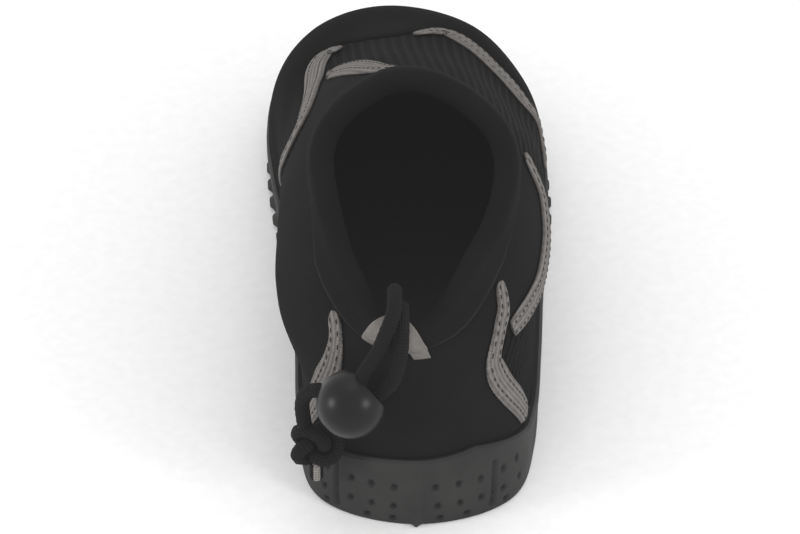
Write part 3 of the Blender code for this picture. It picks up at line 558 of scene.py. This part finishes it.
def roundTube(route, width, sides=20, closed=False, braid=drawcord["braidDepth"]):
    # a grid rolled round the route, on frames carried along it without twist
    ahead = unit(np.roll(route, -1, axis=0) - np.roll(route, 1, axis=0) if closed
                 else np.gradient(route, axis=0))
    sideways = [unit(np.cross(ahead[0], (0.3, 0.2, 0.93)))]
    for way in ahead[1:]:
        last = sideways[-1] - way * (sideways[-1] @ way)
        sideways.append(last / np.linalg.norm(last))
    sideways = np.array(sideways)
    if closed:      # share out the twist that is left where the ends meet
        last = sideways[-1] - ahead[0] * (sideways[-1] @ ahead[0])
        turn = math.atan2(np.cross(sideways[0], last) @ ahead[0], sideways[0] @ last)
        spread = -turn * np.linspace(0, 1, len(route))[:, None]
        sideways = sideways * np.cos(spread) + np.cross(ahead, sideways) * np.sin(spread)
    upward = np.cross(ahead, sideways)
    if closed:
        route, sideways, upward = (np.concatenate((a, a[:1])) for a in (route, sideways, upward))
    run = runLength(route)

    def bend(s, c):
        at = s * (len(route) - 1)
        i = np.rint(at).astype(int)
        angle = 2 * np.pi * c
        radius = np.full(len(s), width / 2)
        if not closed:      # rounded ends
            end = np.minimum(run[i], run[-1] - run[i]) / (width * 0.35)
            radius = radius * np.sqrt(np.clip(end * (2 - np.minimum(end, 1)), 0, 1))
        turns = run[i] / drawcord["braidPitch"] * 2 * np.pi
        radius = radius * (1 + braid * np.cos(turns + 4 * angle) * np.cos(turns - 4 * angle))
        around = sideways[i] * np.cos(angle)[:, None] + upward[i] * np.sin(angle)[:, None]
        return (route[i] + around * radius[:, None],
                np.stack((run[i] * 1000, c * math.pi * width * 1000), -1))

    bm = bentGrid((len(route) - 1, sides), bend, wrap=True)
    bmesh.ops.dissolve_degenerate(bm, dist=1e-7, edges=bm.edges[:])
    return bm


def makeDrawcord():
    width = shoe["cord"]
    main = routeThrough(drawcord["medial"] + drawcord["tail"], 150)
    side = routeThrough(drawcord["lateral"], 100)
    # ball lock: polished ball cut to a stepped shelf where the strands go in
    bm = bmesh.new()
    radius = shoe["lockRadius"]
    bmesh.ops.create_uvsphere(bm, u_segments=72, v_segments=40, radius=radius)
    way = Vector(drawcord["shelfWay"]).normalized()
    bmesh.ops.bisect_plane(bm, geom=bm.verts[:] + bm.edges[:] + bm.faces[:],
                           plane_co=way * radius * drawcord["shelfCut"], plane_no=way, clear_outer=True)
    shelf = bmesh.ops.holes_fill(bm, edges=[e for e in bm.edges if e.is_boundary])["faces"]
    for rim, sink in drawcord["shelfSteps"]:
        bmesh.ops.inset_region(bm, faces=shelf, thickness=rim)
        bmesh.ops.translate(bm, verts=list({v for f in shelf for v in f.verts}), vec=-way * sink)
    bmesh.ops.translate(bm, verts=bm.verts[:], vec=Vector(drawcord["ballAt"]) + Vector(shoe["shift"]))
    lock = makePiece(bm, "ball_lock", finishes["lockPlastic"], ["cord_lock"], crease=25)
    # knot: the cord's end passed twice through its own loop, pulled tight
    turn = np.linspace(0, 2 * np.pi, 180, endpoint=False)
    flat = 2.05 + 0.95 * np.cos(3 * turn)
    loops = np.stack((flat * np.cos(2 * turn), np.sin(3 * turn), flat * np.sin(2 * turn)), -1)
    loops = loops * drawcord["knotSize"] + drawcord["knotAt"] + shoe["shift"]
    bm = roundTube(loops, width * 0.98, closed=True)
    knot = makePiece(bm, "tied_knot", finishes["cord"], ["cord_knot"])
    # bound tip: pale core showing at the back between the dark sides of the sleeve
    tipAt = Vector(drawcord["tipAt"]) + Vector(shoe["shift"])
    reach = Vector((0, 0, drawcord["tipHalf"]))
    bm = roundTube(np.linspace(tipAt + reach, tipAt - reach, 24), drawcord["tipWidth"], sides=24, braid=0.04)
    for face in bm.faces:
        x, y = (face.calc_center_median() - tipAt).xy
        face.material_index = int(abs(x) > drawcord["tipCore"] or y > 0)
    tip = makePiece(bm, "bound_tip", [finishes["tip"], finishes["cord"]], ["cord_tip"])
    mainCord = makePiece(roundTube(main, width), "drawcord_main", finishes["cord"],
                         ["drawcord_medial", "drawcord_tail"])
    sideCord = makePiece(roundTube(side, width), "drawcord_side", finishes["cord"],
                         ["drawcord_lateral"])
    print("cords, mm:", round(runLength(main)[-1] * 1000, 1), round(runLength(side)[-1] * 1000, 1))


makeDrawcord()

# Upper: one neoprene and mesh skin with its lining
# the ribs are measured on so many levels, places along the length and steps down from the crest
upperSize = {"around": 360, "up": 84, "levels": 120, "places": 140, "crest": 200, "quarterEdge": [
    (0.757, 0.125), (0.751, 0.20), (0.741, 0.32), (0.729, 0.44), (0.714, 0.55), (0.693, 0.64),
    (0.665, 0.69), (0.640, 0.66), (0.6225, 0.59)]}


def insideLoop(u, v, loop):
    inside = np.zeros(len(u), bool)
    for (ua, va), (ub, vb) in zip(loop, loop[1:] + loop[:1]):
        crosses = (va > v) != (vb > v)
        with np.errstate(divide="ignore", invalid="ignore"):
            inside ^= crosses & (u < (ub - ua) * (v - va) / (vb - va) + ua)
    return inside


def meshZone():
    # panel of ribbed mesh, out to the middle of the trims round it
    rows = {name: [(u, v) for u, v, _ in path] for name, path in trimPaths.items()}
    return (rows["throat_trim"] + [(0.49, 1.0), (0.31, 1.0)] + rows["side_trim"]
            + rows["heel_trim_lateral"][4:] + [(0.1, -0.1), (0.306, -0.1)]
            + rows["toe_trim_lateral"][::-1] + capTop + rows["toe_trim_medial"]
            + [(0.75, -0.1), (0.762, -0.1)] + upperSize["quarterEdge"])


def ribDistance(u, v):
    # distance round the foot from its crest, on sections square to the shoe's length:
    # followed by u down from the crest to level 0.4, then by v down to the sole
    levelCount, crestCount = upperSize["levels"], upperSize["crest"]
    handover = int(0.4 * levelCount)
    vs = np.linspace(0, 1, levelCount + 1)
    back, front = (smoothCurve(levels[:, 0], levels[:, k], vs) for k in (1, 3))
    ys = np.linspace(0, shoe["length"], upperSize["places"])
    sides, high, low = (1, -1), {1: [], -1: []}, {1: [], -1: []}
    for y in ys:
        reached = (y / shoe["length"] - back) / (front - back)
        turn = np.arccos(1 - 2 * np.clip(reached, 0, 1)) / (2 * math.pi)
        upper = np.clip(np.linspace(0.5, 0.0, crestCount + 1), turn[handover], turn[-1])
        height = np.interp(lengthShare(upper), reached[handover:], vs[handover:])
        rim = skin(np.array([turn[-1], -turn[-1]]), 1.0)
        start = abs(rim[0, 0] - rim[1, 0]) / 2 if reached[-1] < 1 else 0.0
        for side in sides:
            high[side].append(start + runLength(skin(side * upper, height)[:, (0, 2)]))
            down = runLength(skin(side * turn[handover::-1], vs[handover::-1])[:, (0, 2)])
            low[side].append((high[side][-1][-1] + down)[::-1])
    place = np.mod(u, 1.0)
    row = np.clip(skin(u, v)[:, 1] / ys[1], 0, len(ys) - 1.001)
    a, fa = row.astype(int), row % 1
    fromCrest = (0.5 - np.minimum(place, 1 - place)) * 2 * crestCount
    out = []
    for side in sides:
        found = []
        for table, column in ((high, fromCrest), (low, v * levelCount)):
            table = np.array(table[side])
            column = np.clip(column, 0, table.shape[1] - 1.001)
            b, fb = column.astype(int), column % 1
            near = table[a, b] * (1 - fb) + table[a, b + 1] * fb
            far = table[a + 1, b] * (1 - fb) + table[a + 1, b + 1] * fb
            found.append(near * (1 - fa) + far * fa)
        out.append(np.where(v >= 0.4, *found))
    return np.where(place < 0.5, out[0], -out[1]) * 1000


def makeUpper():
    def bend(s, t):
        cloth = np.stack((ribDistance(s, t), skin(s, t)[:, 1] * 1000), -1)
        return lifted(s, t, 0 * s), cloth

    across, up = upperSize["around"], upperSize["up"]
    bm = bentGrid((across, up), bend)
    spots = np.array([(i % (across + 1), i // (across + 1)) for i in range(len(bm.verts))]) / (across, up)
    middles = np.array([spots[[v.index for v in face.verts]].mean(axis=0) for face in bm.faces])
    for face, isMesh in zip(bm.faces, insideLoop(middles[:, 0], middles[:, 1], meshZone())):
        face.material_index = int(isMesh)
    bmesh.ops.remove_doubles(bm, verts=bm.verts[:], dist=2e-6)
    piece = makePiece(bm, "upper_skin", [finishes[k] for k in ("neoprene", "ribbedMesh", "lining", "lining")],
                      ["upper"])
    thicken(piece, shoe["wall"], linings=2)


makeUpper()

# Collar: a soft band folded over the top edge


def alongProfile(controls, p):
    # smooth line through control points that are themselves rows of points
    at = p * (len(controls) - 1)
    i = np.clip(at.astype(int), 0, len(controls) - 2)
    f = (at - i)[:, None]
    rows = np.arange(len(p))
    before, a, b, after = (controls[np.clip(i + k, 0, len(controls) - 1), rows] for k in (-1, 0, 1, 2))
    turning = 2 * before - 5 * a + 4 * b - after + f * (3 * (a - b) + after - before)
    return a + 0.5 * f * (b - before + f * turning)


collar = {
    "around": 400, "across": 32, "gather": 0.00035, "gatherWave": 0.008,
    "round": 0.42, "fold": 0.028, "cloth": 0.0009,      # length round, width when unfolded, thickness
    # outer and inner rows: share of the band up from its seam, height off the wall
    "outer": ((0.0, 0.0003), (0.02, 0.0013), (0.15, 0.0024), (0.57, 0.0029)),
    "inner": ((0.57, 0.0028), (0.15, 0.0022), (0.02, 0.0011), (0.0, 0.0003)),
    "over": ((0.0022, 0.0014), (-0.0012, 0.0030), (-0.0046, 0.0014)),      # rows over the top: out, up
}


def makeCollar():
    def bend(s, p):
        seam = seamLevel(s)
        point, _, upward, normal = skinFrame(s, np.ones_like(s))
        up, top = unit(upward), point + shoe["shift"]
        outer = [lifted(s, seam + (1 - seam) * f, 0 * s + h) for f, h in collar["outer"]]
        inner = [lifted(s, seam + (1 - seam) * f, 0 * s - shoe["wall"] - h) for f, h in collar["inner"]]
        over = [top + normal * n + up * h for n, h in collar["over"]]
        points = alongProfile(np.array(outer + over + inner), p)
        # small gathers where the cord draws the back of the collar in
        arc = s * collar["round"]
        pull = np.exp(-(lengthShare(s) / 0.05) ** 2) + 0.25
        waves = np.sin(2 * np.pi * arc / collar["gatherWave"] + 2.5 * np.sin(9 * s * 2 * np.pi))
        body = np.sin(np.pi * p) ** 0.5 * np.where(p < 0.5, 1, -1) * np.abs(1 - 2 * p) ** 0.5
        points = points + normal * (collar["gather"] * pull * waves * body)[:, None]
        return points, np.stack((arc * 1000, p * collar["fold"] * 1000), -1)

    bm = bentGrid((collar["around"], collar["across"]), bend, wrap=True)
    piece = makePiece(bm, "collar_fold", finishes["band"], ["collar_band"])
    thicken(piece, collar["cloth"])


makeCollar()

# Toe cap: smooth coated fabric between the rubber and the two toe trims
toeCap = {
    "around": 150, "up": 34, "cloth": 0.0008, "height": 0.0011, "rimDrop": 0.0007, "tuck": 0.01,
    # trims beside its top edge: shares of their run from and to, points, side of the run
    "beside": (("toe_trim_lateral", 0.79, 0.05, 24, 1), ("toe_trim_medial", 0.07, 0.79, 26, -1)),
}


def makeToeCap():
    tops = []
    for name, first, last, count, side in toeCap["beside"]:
        path, shares = trimPaths[name], np.linspace(first, last, count)
        half = trimRow(path, shares)[2] * 0.001
        u, v = trimSpot(path, shares, side * (half + shoe["capClear"] * 0.4))
        tops.append(list(zip(u, v)))
    edge = np.array(tops[0] + capTop + tops[1])
    run = runLength(skin(edge[:, 0], edge[:, 1]))

    def bend(s, f):
        ub, vb = (np.interp(s * run[-1], run, edge[:, k]) for k in (0, 1))
        share = (ub - edge[0, 0]) / (edge[-1, 0] - edge[0, 0])
        ua = capFoot[0] + (capFoot[1] - capFoot[0]) * share
        va = rubberLevel(ua) - toeCap["tuck"]
        rim = np.maximum(np.abs(2 * s - 1) ** 40, np.abs(f) ** 24)
        off = toeCap["height"] - toeCap["rimDrop"] * rim
        points = lifted(ua + (ub - ua) * f, va + (vb - va) * f, off)
        return points, np.stack((s * run[-1] * 1000, f * 40), -1)

    bm = bentGrid((toeCap["around"], toeCap["up"]), bend)
    piece = makePiece(bm, "toe_cap_fabric", finishes["toeFabric"], ["toe_cap"])
    thicken(piece, toeCap["cloth"])


makeToeCap()

# Trims: corded tapes with scalloped edges and two rows of dark stitches
trims = {
    "step": 0.0006, "across": 18, "rise": 0.0002, "scallop": 0.07, "scallopPitch": 0.0016,
    "rows": (-0.52, 0.52), "stitchPitch": 0.0032, "stitch": (0.0019, 0.00062, 0.00044),
    "leastHalf": 0.0017,      # no stitches where the tape is narrower than this
}


def makeTrim(name):
    path = trimPaths[name]
    dense = np.linspace(0, 1, 400)
    spine = trimRow(path, dense)
    run = runLength(skin(spine[0], spine[1]))
    count = int(run[-1] / trims["step"])

    def shareAt(distance):
        return np.interp(distance, run, dense)

    def bend(s, c):
        distance, across = s * run[-1], 2 * c - 1
        share = shareAt(distance)
        half = trimRow(path, share)[2] * 0.001
        scallops = np.abs(np.sin(np.pi * distance / trims["scallopPitch"])) * np.abs(across) ** 3
        ends = np.sqrt(np.clip(np.minimum(distance, run[-1] - distance) / (half * 0.5 + 1e-6), 0.02, 1))
        u, v = trimSpot(path, share, half * across * (1 + trims["scallop"] * scallops) * ends)
        crown = 1 - 0.65 * np.abs(across) ** 7
        return (lifted(u, np.minimum(v, 1), shoe["gap"] + (shoe["tape"] + trims["rise"]) * crown),
                np.stack((distance * 1000, across * half * 1000), -1))

    bm = bentGrid((count, trims["across"]), bend)
    piece = makePiece(bm, name + "_tape", finishes["tape"], [name])
    thicken(piece, shoe["tape"])

    # stitches, each a small rounded thread bedded in the tape
    bm = bmesh.new()
    size = Matrix.Diagonal([d / 2 for d in trims["stitch"]] + [1])
    crest = shoe["gap"] + shoe["tape"] + trims["rise"]
    place = np.arange(0.003, run[-1] - 0.002, trims["stitchPitch"])
    for row in trims["rows"]:
        share = shareAt(place + (trims["stitchPitch"] / 2 if row > 0 else 0.0))
        half = trimRow(path, share)[2] * 0.001
        u, v = trimSpot(path, share, half * row)
        ua, va = trimSpot(path, np.clip(share + 0.004, 0, 1), half * row)
        spots, nexts = lifted(u, v, crest + 0 * u), lifted(ua, va, crest + 0 * u)
        for spot, ahead, normal, ok in zip(spots, nexts, skinFrame(u, v)[3], half > trims["leastHalf"]):
            if not ok or np.linalg.norm(ahead - spot) < 1e-7:
                continue
            way = Vector(ahead - spot).normalized()
            up = Vector(normal)
            side = up.cross(way).normalized()
            turned = Matrix((way, side, way.cross(side))).transposed().to_4x4()
            bmesh.ops.create_uvsphere(bm, u_segments=8, v_segments=5, radius=1.0,
                                      matrix=Matrix.Translation(spot) @ turned @ size)
    if bm.verts:
        makePiece(bm, name + "_stitches", finishes["thread"])
    else:
        bm.free()


for trimName in trimPaths:
    makeTrim(trimName)

# Heel tabs: webbing loops over the collar on both sides of the notch
swell = shoe["bandSwell"]
# middle, half width, then for each row of the foot: share of the band, height, share of the width
heelTabs = {"heel_tab_lateral": (0.0120, 0.0155, ((-0.40, 0, 0.62), (-0.06, shoe["bandEdge"], 0.72),
                                                  (0.15, swell * 0.9, 0.84), (0.62, swell * 1.04, 0.97))),
            "heel_tab_medial": (0.9540, 0.0180, ((0.04, swell * 0.66, 0.78), (0.15, swell * 0.9, 0.86),
                                                 (0.62, swell * 1.04, 0.98)))}
# webbing: millimetres across and along, thickness in metres
tabWebbing = {"across": 9.0, "along": 26.0, "thick": 0.0009}


def makeHeelTab(name):
    centre, half, foot = heelTabs[name]
    wall, h = shoe["wall"], shoe["gap"] + shoe["webbing"]

    def bend(s, p):
        across = half * (2 * s - 1)
        u = centre + across
        seam = seamLevel(u)
        point, _, upward, normal = skinFrame(u, np.ones_like(u))
        up, top = unit(upward), point + shoe["shift"]
        controls = [lifted(centre + across * wide, seam + (1 - seam) * f, 0 * u + base + h)
                    for f, base, wide in foot]
        controls += [top + normal * (swell * 0.76 + h * 0.8) + up * (swell * 0.48 + h * 0.8),
                     top - normal * wall * 0.48 + up * (swell * 1.03 + h),
                     top - normal * (wall + swell * 0.72 + h * 0.8) + up * (swell * 0.48 + h * 0.8),
                     lifted(u, seam + (1 - seam) * 0.6, 0 * u - wall - swell - h)]
        cloth = np.stack((s * tabWebbing["across"], p * tabWebbing["along"]), -1)
        return alongProfile(np.array(controls), p), cloth

    bm = bentGrid((26, 40), bend)
    piece = makePiece(bm, name + "_webbing", finishes["webbing"], [name])
    thicken(piece, tabWebbing["thick"])


for tabName in heelTabs:
    makeHeelTab(tabName)

# Insole: a flat foam sheet that fills the foot of the upper, its edge turned up a little
insole = {"across": 40, "along": 160, "level": 0.036, "clear": 0.0008, "edgeRise": 0.0008, "sink": 0.0006,
          "foam": 0.0026}


def makeInsole():
    def bend(s, t):
        u = 0.5 * t
        inward = -shoe["wall"] - insole["clear"]
        left, right = (lifted(w, 0 * w + insole["level"], 0 * w + inward) for w in (u, 1 - u))
        share = s[:, None]
        points = left * (1 - share) + right * share
        points[:, 2] += insole["edgeRise"] * np.abs(2 * s - 1) ** 6 - insole["sink"]
        return points, points[:, :2] * 1000

    bm = bentGrid((insole["across"], insole["along"]), bend, wrap=True)
    bmesh.ops.recalc_face_normals(bm, faces=bm.faces[:])
    if sum(f.normal.z for f in bm.faces) < 0:
        bmesh.ops.reverse_faces(bm, faces=bm.faces[:])
    piece = makePiece(bm, "insole_sheet", finishes["insole"], ["insole"])
    thicken(piece, insole["foam"])


makeInsole()

# Sole: rubber cup with a studded heel, centre ridges and a grooved tread
sole = {
    "around": 960, "up": 44, "across": 56, "bevel": 0.0030, "step": 0.0066,
    # moulded pits: height in metres, then distances round from the heel's middle in millimetres
    "pitRows": ((0.0132, (-38, -31, -21.5, -14.5, -7, 6, 13.5, 21, 30, 37)),
                (0.0066, (-39, -31, -21, -14, -7, 6.5, 13.7, 20.8, 29, 37)),
                (0.0021, (-30, -15.5, -7.2, 7.2, 16, 30))),
    "pitRadius": 0.00085, "pitDepth": 0.0009, "heelReach": 0.06, "heelTop": 0.0175,
    "creases": (-26.5, 25.5), "creaseLean": 150, "creaseWidth": 0.9, "creaseDepth": 0.0013,
    "ridge": 0.0009, "ridgeWidth": 0.0010, "nub": 0.0008, "toeRidge": 0.0008,
    # cross grooves: first and step as shares of the length, how many, under the heel and the forefoot
    "treadRows": ((0.06426, 0.04618, 6), (0.56627, 0.04096, 10)), "groove": 0.0018, "grooveHalf": 0.0013,
    "gutter": 0.0011, "gutterHalf": 0.0019,
    "stud": 0.0014, "studAhead": 0.0051, "studUp": 0.0022,      # one on the end of each lug
}


def treadLines(rows):
    return [shoe["length"] * (first + step * i) for first, step, count in rows for i in range(count)]


def makeSole():
    gap, lip, wall = shoe["gap"], shoe["lip"], shoe["wall"]

    def wallRows(u):
        t = lengthShare(u)
        step = shoe["rand"] * np.clip((t - 0.10) / 0.20, 0, 1)
        edge = rubberLevel(u)
        down = np.array((0, 0, gap))
        return np.array([
            soleEdge(u, 0 * u + sole["bevel"], 0), soleEdge(u, 0 * u + 0.0003, 0), soleEdge(u, 0 * u, 0.0005),
            soleEdge(u, 0 * u, 0.0056), soleEdge(u, step, sole["step"]),
            lifted(u, edge * 0.55, gap + lip + 0.0006 + 0 * u), lifted(u, edge, gap + lip + 0 * u),
            lifted(u, edge + 0.006, gap + lip * 0.6 + 0 * u), lifted(u, edge, gap + 0 * u),
            lifted(u, edge * 0.5, gap + 0 * u), lifted(u, 0 * u, gap + 0 * u) - down,
            lifted(u, 0 * u, 0 * u - wall) - down])

    # more rows on the wall than in the lip and deck
    spread = (0, 2, 4, 13, 16, 27, 36, 38, 40, 42, 43, sole["up"])

    def bend(s, p):
        rows = wallRows(s)
        at = np.interp(p * sole["up"], spread, range(len(spread)))
        i = np.clip(at.astype(int), 0, 10)
        f = (at - i)[:, None]
        n = np.arange(len(s))
        points = rows[i, n] * (1 - f) + rows[i + 1, n] * f
        return points, np.stack((s * 600, p * 30), -1)

    bm = bentGrid((sole["around"], sole["up"]), bend, wrap=True)
    outline = soleEdge(np.linspace(0, 1, 2001), np.zeros(2001), 0) - shoe["shift"]
    run = runLength(outline)
    pit = bm.verts.layers.float.new("pit")
    bm.normal_update()
    pits = np.array([(around / 1000, height) for height, row in sole["pitRows"] for around in row])
    gutters = treadLines(sole["treadRows"][1:])
    for vert in bm.verts:
        x, y, z = vert.co - Vector(shoe["shift"])
        out = Vector((vert.normal.x, vert.normal.y, 0))
        if out.length < 0.5:
            continue
        out.normalize()
        ground = soleRise((y + shoe["backset"]) / shoe["length"])
        if y < sole["heelReach"]:
            k = np.argmin((outline[:, 0] - x) ** 2 + (outline[:, 1] - y) ** 2)
            arc = run[k] if run[k] < run[-1] / 2 else run[k] - run[-1]
            near = np.hypot(pits[:, 0] - arc, pits[:, 1] - z).min()
            vert[pit] = min(1.0, max(0.0, 1.5 - near / sole["pitRadius"]))
            if vert.normal.y > 0.6:      # the cup's inner face stays plain
                continue
            vert.co -= out * sole["pitDepth"] * vert[pit]
            if z < sole["heelTop"]:
                low = min(1.0, max(0.0, (0.005 - z) / 0.0015))
                bulge = sole["ridge"] + sole["nub"] * low
                vert.co += out * bulge * math.exp(-(arc / sole["ridgeWidth"]) ** 2)
            if 0.002 < z < sole["heelTop"]:
                for crease in sole["creases"]:
                    lean = (z - 0.008) * math.copysign(sole["creaseLean"], crease)
                    far = (arc * 1000 - crease - lean) / sole["creaseWidth"]
                    vert.co -= out * sole["creaseDepth"] * math.exp(-far * far)
        elif z < ground + sole["step"]:
            for line in gutters:
                aside = sole["gutterHalf"] - abs(y - line)
                if aside > 0:
                    vert.co -= out * sole["gutter"] * min(1.0, aside / 0.0005)
                far = math.hypot((y - line - sole["studAhead"]) / 0.0021,
                                 (z - ground - sole["studUp"]) / 0.0018)
                vert.co += out * sole["stud"] * min(1.0, max(0.0, 1.35 - far) / 0.5)
            if y > 0.22:
                vert.co += out * sole["toeRidge"] * math.exp(-((x + 0.011) / 0.0013) ** 2)

    # tread: the underside with V grooves across it
    lines = treadLines(sole["treadRows"])

    def tread(s, t):
        u = 0.5 * t
        left, right = (soleEdge(w, 0 * w + sole["bevel"], 0) for w in (u, 1 - u))
        points = left * (1 - s[:, None]) + right * s[:, None]
        x, y = points[:, 0] - shoe["shift"][0], points[:, 1] - shoe["shift"][1]
        line = y + 0.005 * (1 - np.abs(x) / 0.06)
        near = np.min([np.abs(line - at) for at in lines], axis=0)
        inner = np.clip((0.5 - np.abs(s - 0.5)) / 0.03, 0, 1)
        depth = np.clip((sole["grooveHalf"] + 0.0003 - near) / 0.0006, 0, 1)
        points[:, 2] += sole["groove"] * depth * inner
        return points, points[:, :2] * 1000

    def deck(s, t):
        u = 0.5 * t
        left, right = (lifted(w, 0 * w, 0 * w - wall) - (0, 0, gap) for w in (u, 1 - u))
        points = left * (1 - s[:, None]) + right * s[:, None]
        return points, points[:, :2] * 1000

    for cells, shape in (((sole["across"], sole["around"] // 2), tread), ((12, sole["around"] // 2), deck)):
        cap = bentGrid(cells, shape, wrap=True)
        extra = bpy.data.meshes.new("cap")
        cap.to_mesh(extra)
        cap.free()
        bm.from_mesh(extra)
        bpy.data.meshes.remove(extra)
    bmesh.ops.remove_doubles(bm, verts=bm.verts[:], dist=4e-6)
    makePiece(bm, "rubber_sole", finishes["rubber"], ["outsole"], crease=50, outward=True)


makeSole()

# Floor, light and backdrop
studio = {
    "lift": -0.0128, "world": 1.0,
    # softboxes: name, place, size, power
    "softboxes": (("left softbox", (-1.1, -0.45, 0.36), 0.35, 4.2),
                  ("right softbox", (0.88, -0.72, 0.52), 0.35, 4.0),
                  ("top softbox", (0.0, 0.1, 1.4), 0.9, 1.5)),
}

bm = bmesh.new()
bmesh.ops.create_grid(bm, x_segments=1, y_segments=1, size=6.0)
floorMesh = bpy.data.meshes.new("floor")
bm.to_mesh(floorMesh)
bm.free()
floorMesh.transform(Matrix.Translation((0, 0, -0.0002)))
floorMesh.materials.append(makePlain("matt white floor", "#f2f2f2", "#f6f6f6", 4.0, 0.0, {"Roughness": 0.9}))
floor = bpy.data.objects.new("floor", floorMesh)
bpy.context.scene.collection.objects.link(floor)

world = bpy.data.worlds.new("studio")
world.use_nodes = True
world.node_tree.nodes["Background"].inputs["Color"].default_value = (1, 1, 1, 1)
world.node_tree.nodes["Background"].inputs["Strength"].default_value = studio["world"]
bpy.context.scene.world = world
# the photograph's blacks are lifted: nothing in it is darker than #1f1f1f
look = bpy.context.scene.view_settings
look.view_transform = 'Standard'
look.use_curve_mapping = True
look.curve_mapping.black_level = (studio["lift"],) * 3
look.curve_mapping.update()

for name, place, size, power in studio["softboxes"]:
    data = bpy.data.lights.new(name, 'AREA')
    data.shape = 'DISK'
    data.size = size
    data.energy = power
    lamp = bpy.data.objects.new(name, data)
    bpy.context.scene.collection.objects.link(lamp)
    lamp.location = place
    lamp.rotation_euler = Vector(place).to_track_quat('Z', 'Y').to_euler()
print("studio set")
